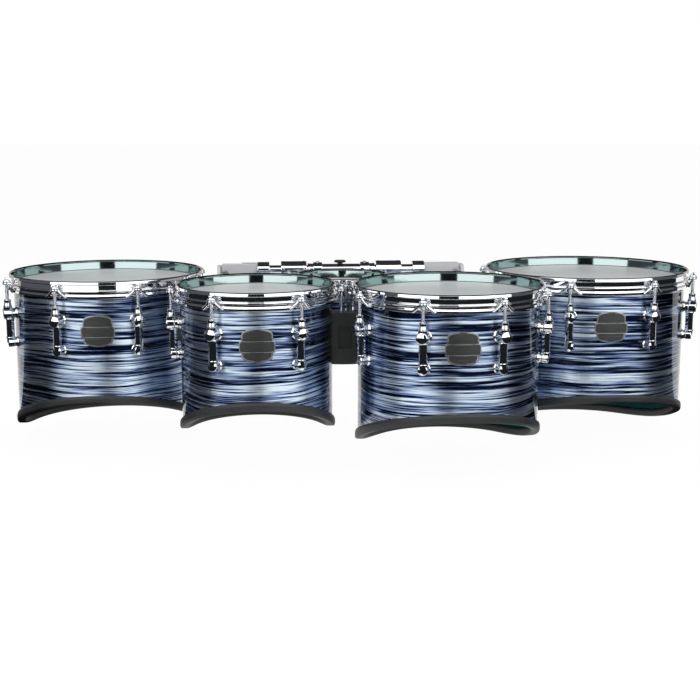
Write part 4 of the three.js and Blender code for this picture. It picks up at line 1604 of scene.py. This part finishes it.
@dataclass
class Studio:
    """The plain floor, the soft lamps, the cards that the chrome mirrors, and the camera.

    Azimuths and elevations are in degrees, from the front and from the level. The cards stand on a circle of
    card_radius: panel_half is the half width of the bright one before the object, and the dark ones beside it
    end at gap_left and gap_right.
    """

    target: Place = (-0.014840, -0.032717, 0.183700)
    azimuth: float = -4.45
    elevation: float = 10.41
    distance: float = 2.174
    lens: float = 64.03
    sensor: float = 36.0
    clip_end: float = 100.0
    lamps: tuple[Lamp, ...] = (
        Lamp("left_lamp", -40, 38, 1.6, 46),
        Lamp("right_lamp", 36, 38, 1.6, 46),
        Lamp("top_lamp", 180, 70, 2.2, 30),
    )
    lamp_reach: float = 3.0
    world_light: float = 0.42
    floor_size: float = 60.0
    floor_tone: Colour = (0.9, 0.9, 0.9, 1)
    floor_glow: float = 0.97
    panel_glow: float = 2.15
    panel_half: float = 66.0
    panel_low: float = 0.01
    gap_left: float = 112.0
    gap_right: float = 103.0
    card_radius: float = 3.2
    card_height: float = 5.0
    card_low: float = -0.05
    card_step: float = 0.1
    roof_sides: int = 64
    back_height: float = 1.1
    ground: float = 0.003
    near_ground: float = 0.45
    near_floor: float = 0.35
    eye_half: float = 0.42
    eye_behind: float = 0.05
    eye_height: float = 0.85
    eye_tall: float = 1.6
    eye_thick: float = 0.001
    dark: Colour = (0.012, 0.014, 0.016, 1)
    dusk: Colour = (0.03, 0.032, 0.035, 1)
    slate: Colour = (0.095, 0.096, 0.112, 1)
    warm: Colour = (0.52, 0.49, 0.47, 1)
    pale: Colour = (1.10, 1.10, 1.08, 1)

    def stand(
        self, data: bpy.types.ID, azimuth: float = 0.0, elevation: float = 0.0, distance: float | None = None
    ) -> bpy.types.Object:
        """Puts an object into the scene.

        Args:
            data: Its camera, lamp or mesh, whose name it takes.
            azimuth: Where it stands round the target.
            elevation: How high it stands over the target.
            distance: How far from the target it stands and looks at it, or None to leave it at the origin.

        Returns:
            The new object.
        """
        made = bpy.data.objects.new(data.name, data)
        bpy.context.scene.collection.objects.link(made)
        if distance is not None:
            towards = self.direction(azimuth, elevation)
            made.location = Vector(self.target) + towards * distance
            made.rotation_euler = (-towards).to_track_quat("-Z", "Y").to_euler()
        return made

    def direction(self, azimuth: float, elevation: float) -> Vector:
        """The direction from the target at an azimuth and an elevation."""
        a, e = math.radians(azimuth), math.radians(elevation)
        return Vector((math.sin(a) * math.cos(e), -math.cos(a) * math.cos(e), math.sin(e)))

    def camera(self) -> None:
        """Sets the camera at the photograph's angle."""
        data = bpy.data.cameras.new("camera")
        data.lens, data.sensor_width, data.clip_end = self.lens, self.sensor, self.clip_end
        bpy.context.scene.camera = self.stand(data, self.azimuth, self.elevation, self.distance)

    def lamp(self, lamp: Lamp) -> None:
        """Adds one soft lamp.

        Args:
            lamp: The lamp.
        """
        data = bpy.data.lights.new(lamp.name, "AREA")
        data.shape = "SQUARE"
        data.size, data.energy = lamp.width, lamp.power
        made = self.stand(data, lamp.azimuth, lamp.elevation, self.lamp_reach)
        made.visible_camera = made.visible_glossy = False

    def world(self) -> None:
        """Makes the white surroundings, with a plain grey light on matt surfaces."""
        world = bpy.context.scene.world = bpy.data.worlds.new("surroundings")
        sketch = NodeSketch(world, "ShaderNodeOutputWorld")
        light = sketch.plain("ShaderNodeBackground", WHITE, Strength=self.world_light)
        white = sketch.plain("ShaderNodeBackground", WHITE, Strength=1.0)
        seen = sketch.seen_by("Is Camera Ray", "Is Glossy Ray", "Is Transmission Ray")
        sketch.blend(seen, light, white)

    def staged(self, name: str, bm: BMesh, material: Material) -> bpy.types.Object:
        """Makes a bmesh a part of the stage.

        Args:
            name: Its name.
            bm: Its filled bmesh, which is freed.
            material: Its material.

        Returns:
            The new object.
        """
        mesh = bpy.data.meshes.new(name)
        bm.to_mesh(mesh)
        bm.free()
        mesh.materials.append(material)
        made = self.stand(mesh)
        return made

    def floor(self) -> None:
        """Makes the plain floor, white to the eye and to mirrors, with the object's shadow on it."""
        bm = bmesh.new()
        bmesh.ops.create_grid(bm, x_segments=1, y_segments=1, size=self.floor_size / 2)
        sketch = sketch_of("pale_floor")
        seen = sketch.seen_by("Is Camera Ray", "Is Glossy Ray")
        seen = sketch.math("MULTIPLY", seen, self.floor_glow)
        shade = sketch.plain("ShaderNodeBsdfDiffuse", self.floor_tone)
        sketch.blend(seen, shade, sketch.plain("ShaderNodeEmission", WHITE, Strength=1.0))
        self.staged("floor", bm, sketch.owner)

    def card(self, name: str, bm: BMesh, tone: Colour, strength: float = 1.0) -> None:
        """Adds a card that only mirrors see.

        Args:
            name: Its name.
            bm: Its filled bmesh, which is freed.
            tone: Its even tone.
            strength: How bright it is.
        """
        sketch = sketch_of(name + "_tone")
        sketch.finish(sketch.plain("ShaderNodeEmission", tone, Strength=strength))
        made = self.staged(name, bm, sketch.owner)
        made.visible_camera = made.visible_diffuse = made.visible_shadow = False
        made.visible_transmission = made.visible_volume_scatter = False

    def arc_card(
        self, name: str, arc: Point, near: Point, far: Point, tone: Colour, strength: float = 1.0
    ) -> None:
        """Adds a card swept round the vertical through the origin.

        Args:
            name: Its name.
            arc: Its first and its last azimuth.
            near: The radius and height of its one edge.
            far: The radius and height of its other edge.
            tone: Its even tone.
            strength: How bright it is.
        """
        turn = math.radians(arc[1] - arc[0])
        bm = turned([near, far], max(2, round(turn / self.card_step)), arc=turn)
        bm.transform(about_z(arc[0] - 90))
        self.card(name, bm, tone, strength)

    def cards(self) -> None:
        """Sets the cards round the object: a bright one before it, and dark ones at its sides and over it."""
        r, low, top, ground = self.card_radius, self.card_low, self.card_height, self.ground
        front, behind = (-self.gap_left, self.gap_right), (self.gap_right, 360 - self.gap_left)
        side = self.panel_half
        self.arc_card("front_panel", (-side, side), (r, self.panel_low), (r, top), WHITE, self.panel_glow)
        self.arc_card("left_flag", (-self.gap_left, -side), (r, low), (r, top), self.slate)
        self.arc_card("right_flag", (side, self.gap_right), (r, low), (r, top), self.slate)
        self.arc_card("back_card", behind, (r, low), (r, self.back_height), self.warm)
        self.arc_card("back_ground", behind, (self.near_floor, ground), (r, ground), self.pale)
        self.arc_card("back_flag", behind, (r, self.back_height), (r, top), self.dusk)
        self.arc_card("ground_flag", front, (self.near_ground, ground), (r, ground), self.dark)
        bm = bmesh.new()
        place = Matrix.Translation((0, 0, top))
        bmesh.ops.create_circle(bm, cap_ends=True, radius=r, segments=self.roof_sides, matrix=place)
        self.card("roof_flag", bm, self.dusk)
        towards = self.direction(self.azimuth, self.elevation)
        eye = Vector(self.target) + towards * (self.distance + self.eye_behind)
        place = Matrix.Translation((eye.x, eye.y, self.eye_height)) @ about_z(self.azimuth)
        size = Matrix.Diagonal((2 * self.eye_half, self.eye_thick, self.eye_tall, 1))
        bm = bmesh.new()
        bmesh.ops.create_cube(bm, size=1, matrix=place @ size)
        self.card("eye_flag", bm, self.dark)

    def build(self) -> None:
        """Sets up the whole studio."""
        self.camera()
        self.world()
        self.floor()
        self.cards()
        for lamp in self.lamps:
            self.lamp(lamp)
        bpy.context.scene.view_settings.view_transform = "Standard"


def drums() -> list[Drum]:
    """The five drums, from the left of the photograph to the right, and then the small one.

    Returns:
        The drums.
    """
    return [
        Drum("tenor_13", "hoop_13", 0.2885, 8, 22.5, 0.0772, 0.04, hoop_lean=0.0002),
        Drum("tenor_10", "hoop_10", 0.2555, 6, 30.0, 0.0638, 0.05, skip=(90.0,)),
        Drum("tenor_12", "hoop_12", 0.284, 8, 22.5, 0.0795, 0.33),
        Drum("tenor_14", "hoop_14", 0.312, 8, 22.5, 0.0925, 0.45),
        Drum("shot_6", "hoop_6", 0.158, 4, 0.0, rim_drop=0.006, badged=False, hoop_slim=0.0011),
    ]


def main() -> None:
    """Builds the studio and every piece of the set."""
    logging.basicConfig(level=logging.INFO, format="%(message)s")
    bench = Bench(Finishes())
    Studio().build()
    for drum in drums():
        drum.build(bench)
    Blocks().build(bench)
    CarrierBar().build(bench)
    log.info("%d pieces", bench.count)


if __name__ == "__main__":
    main()
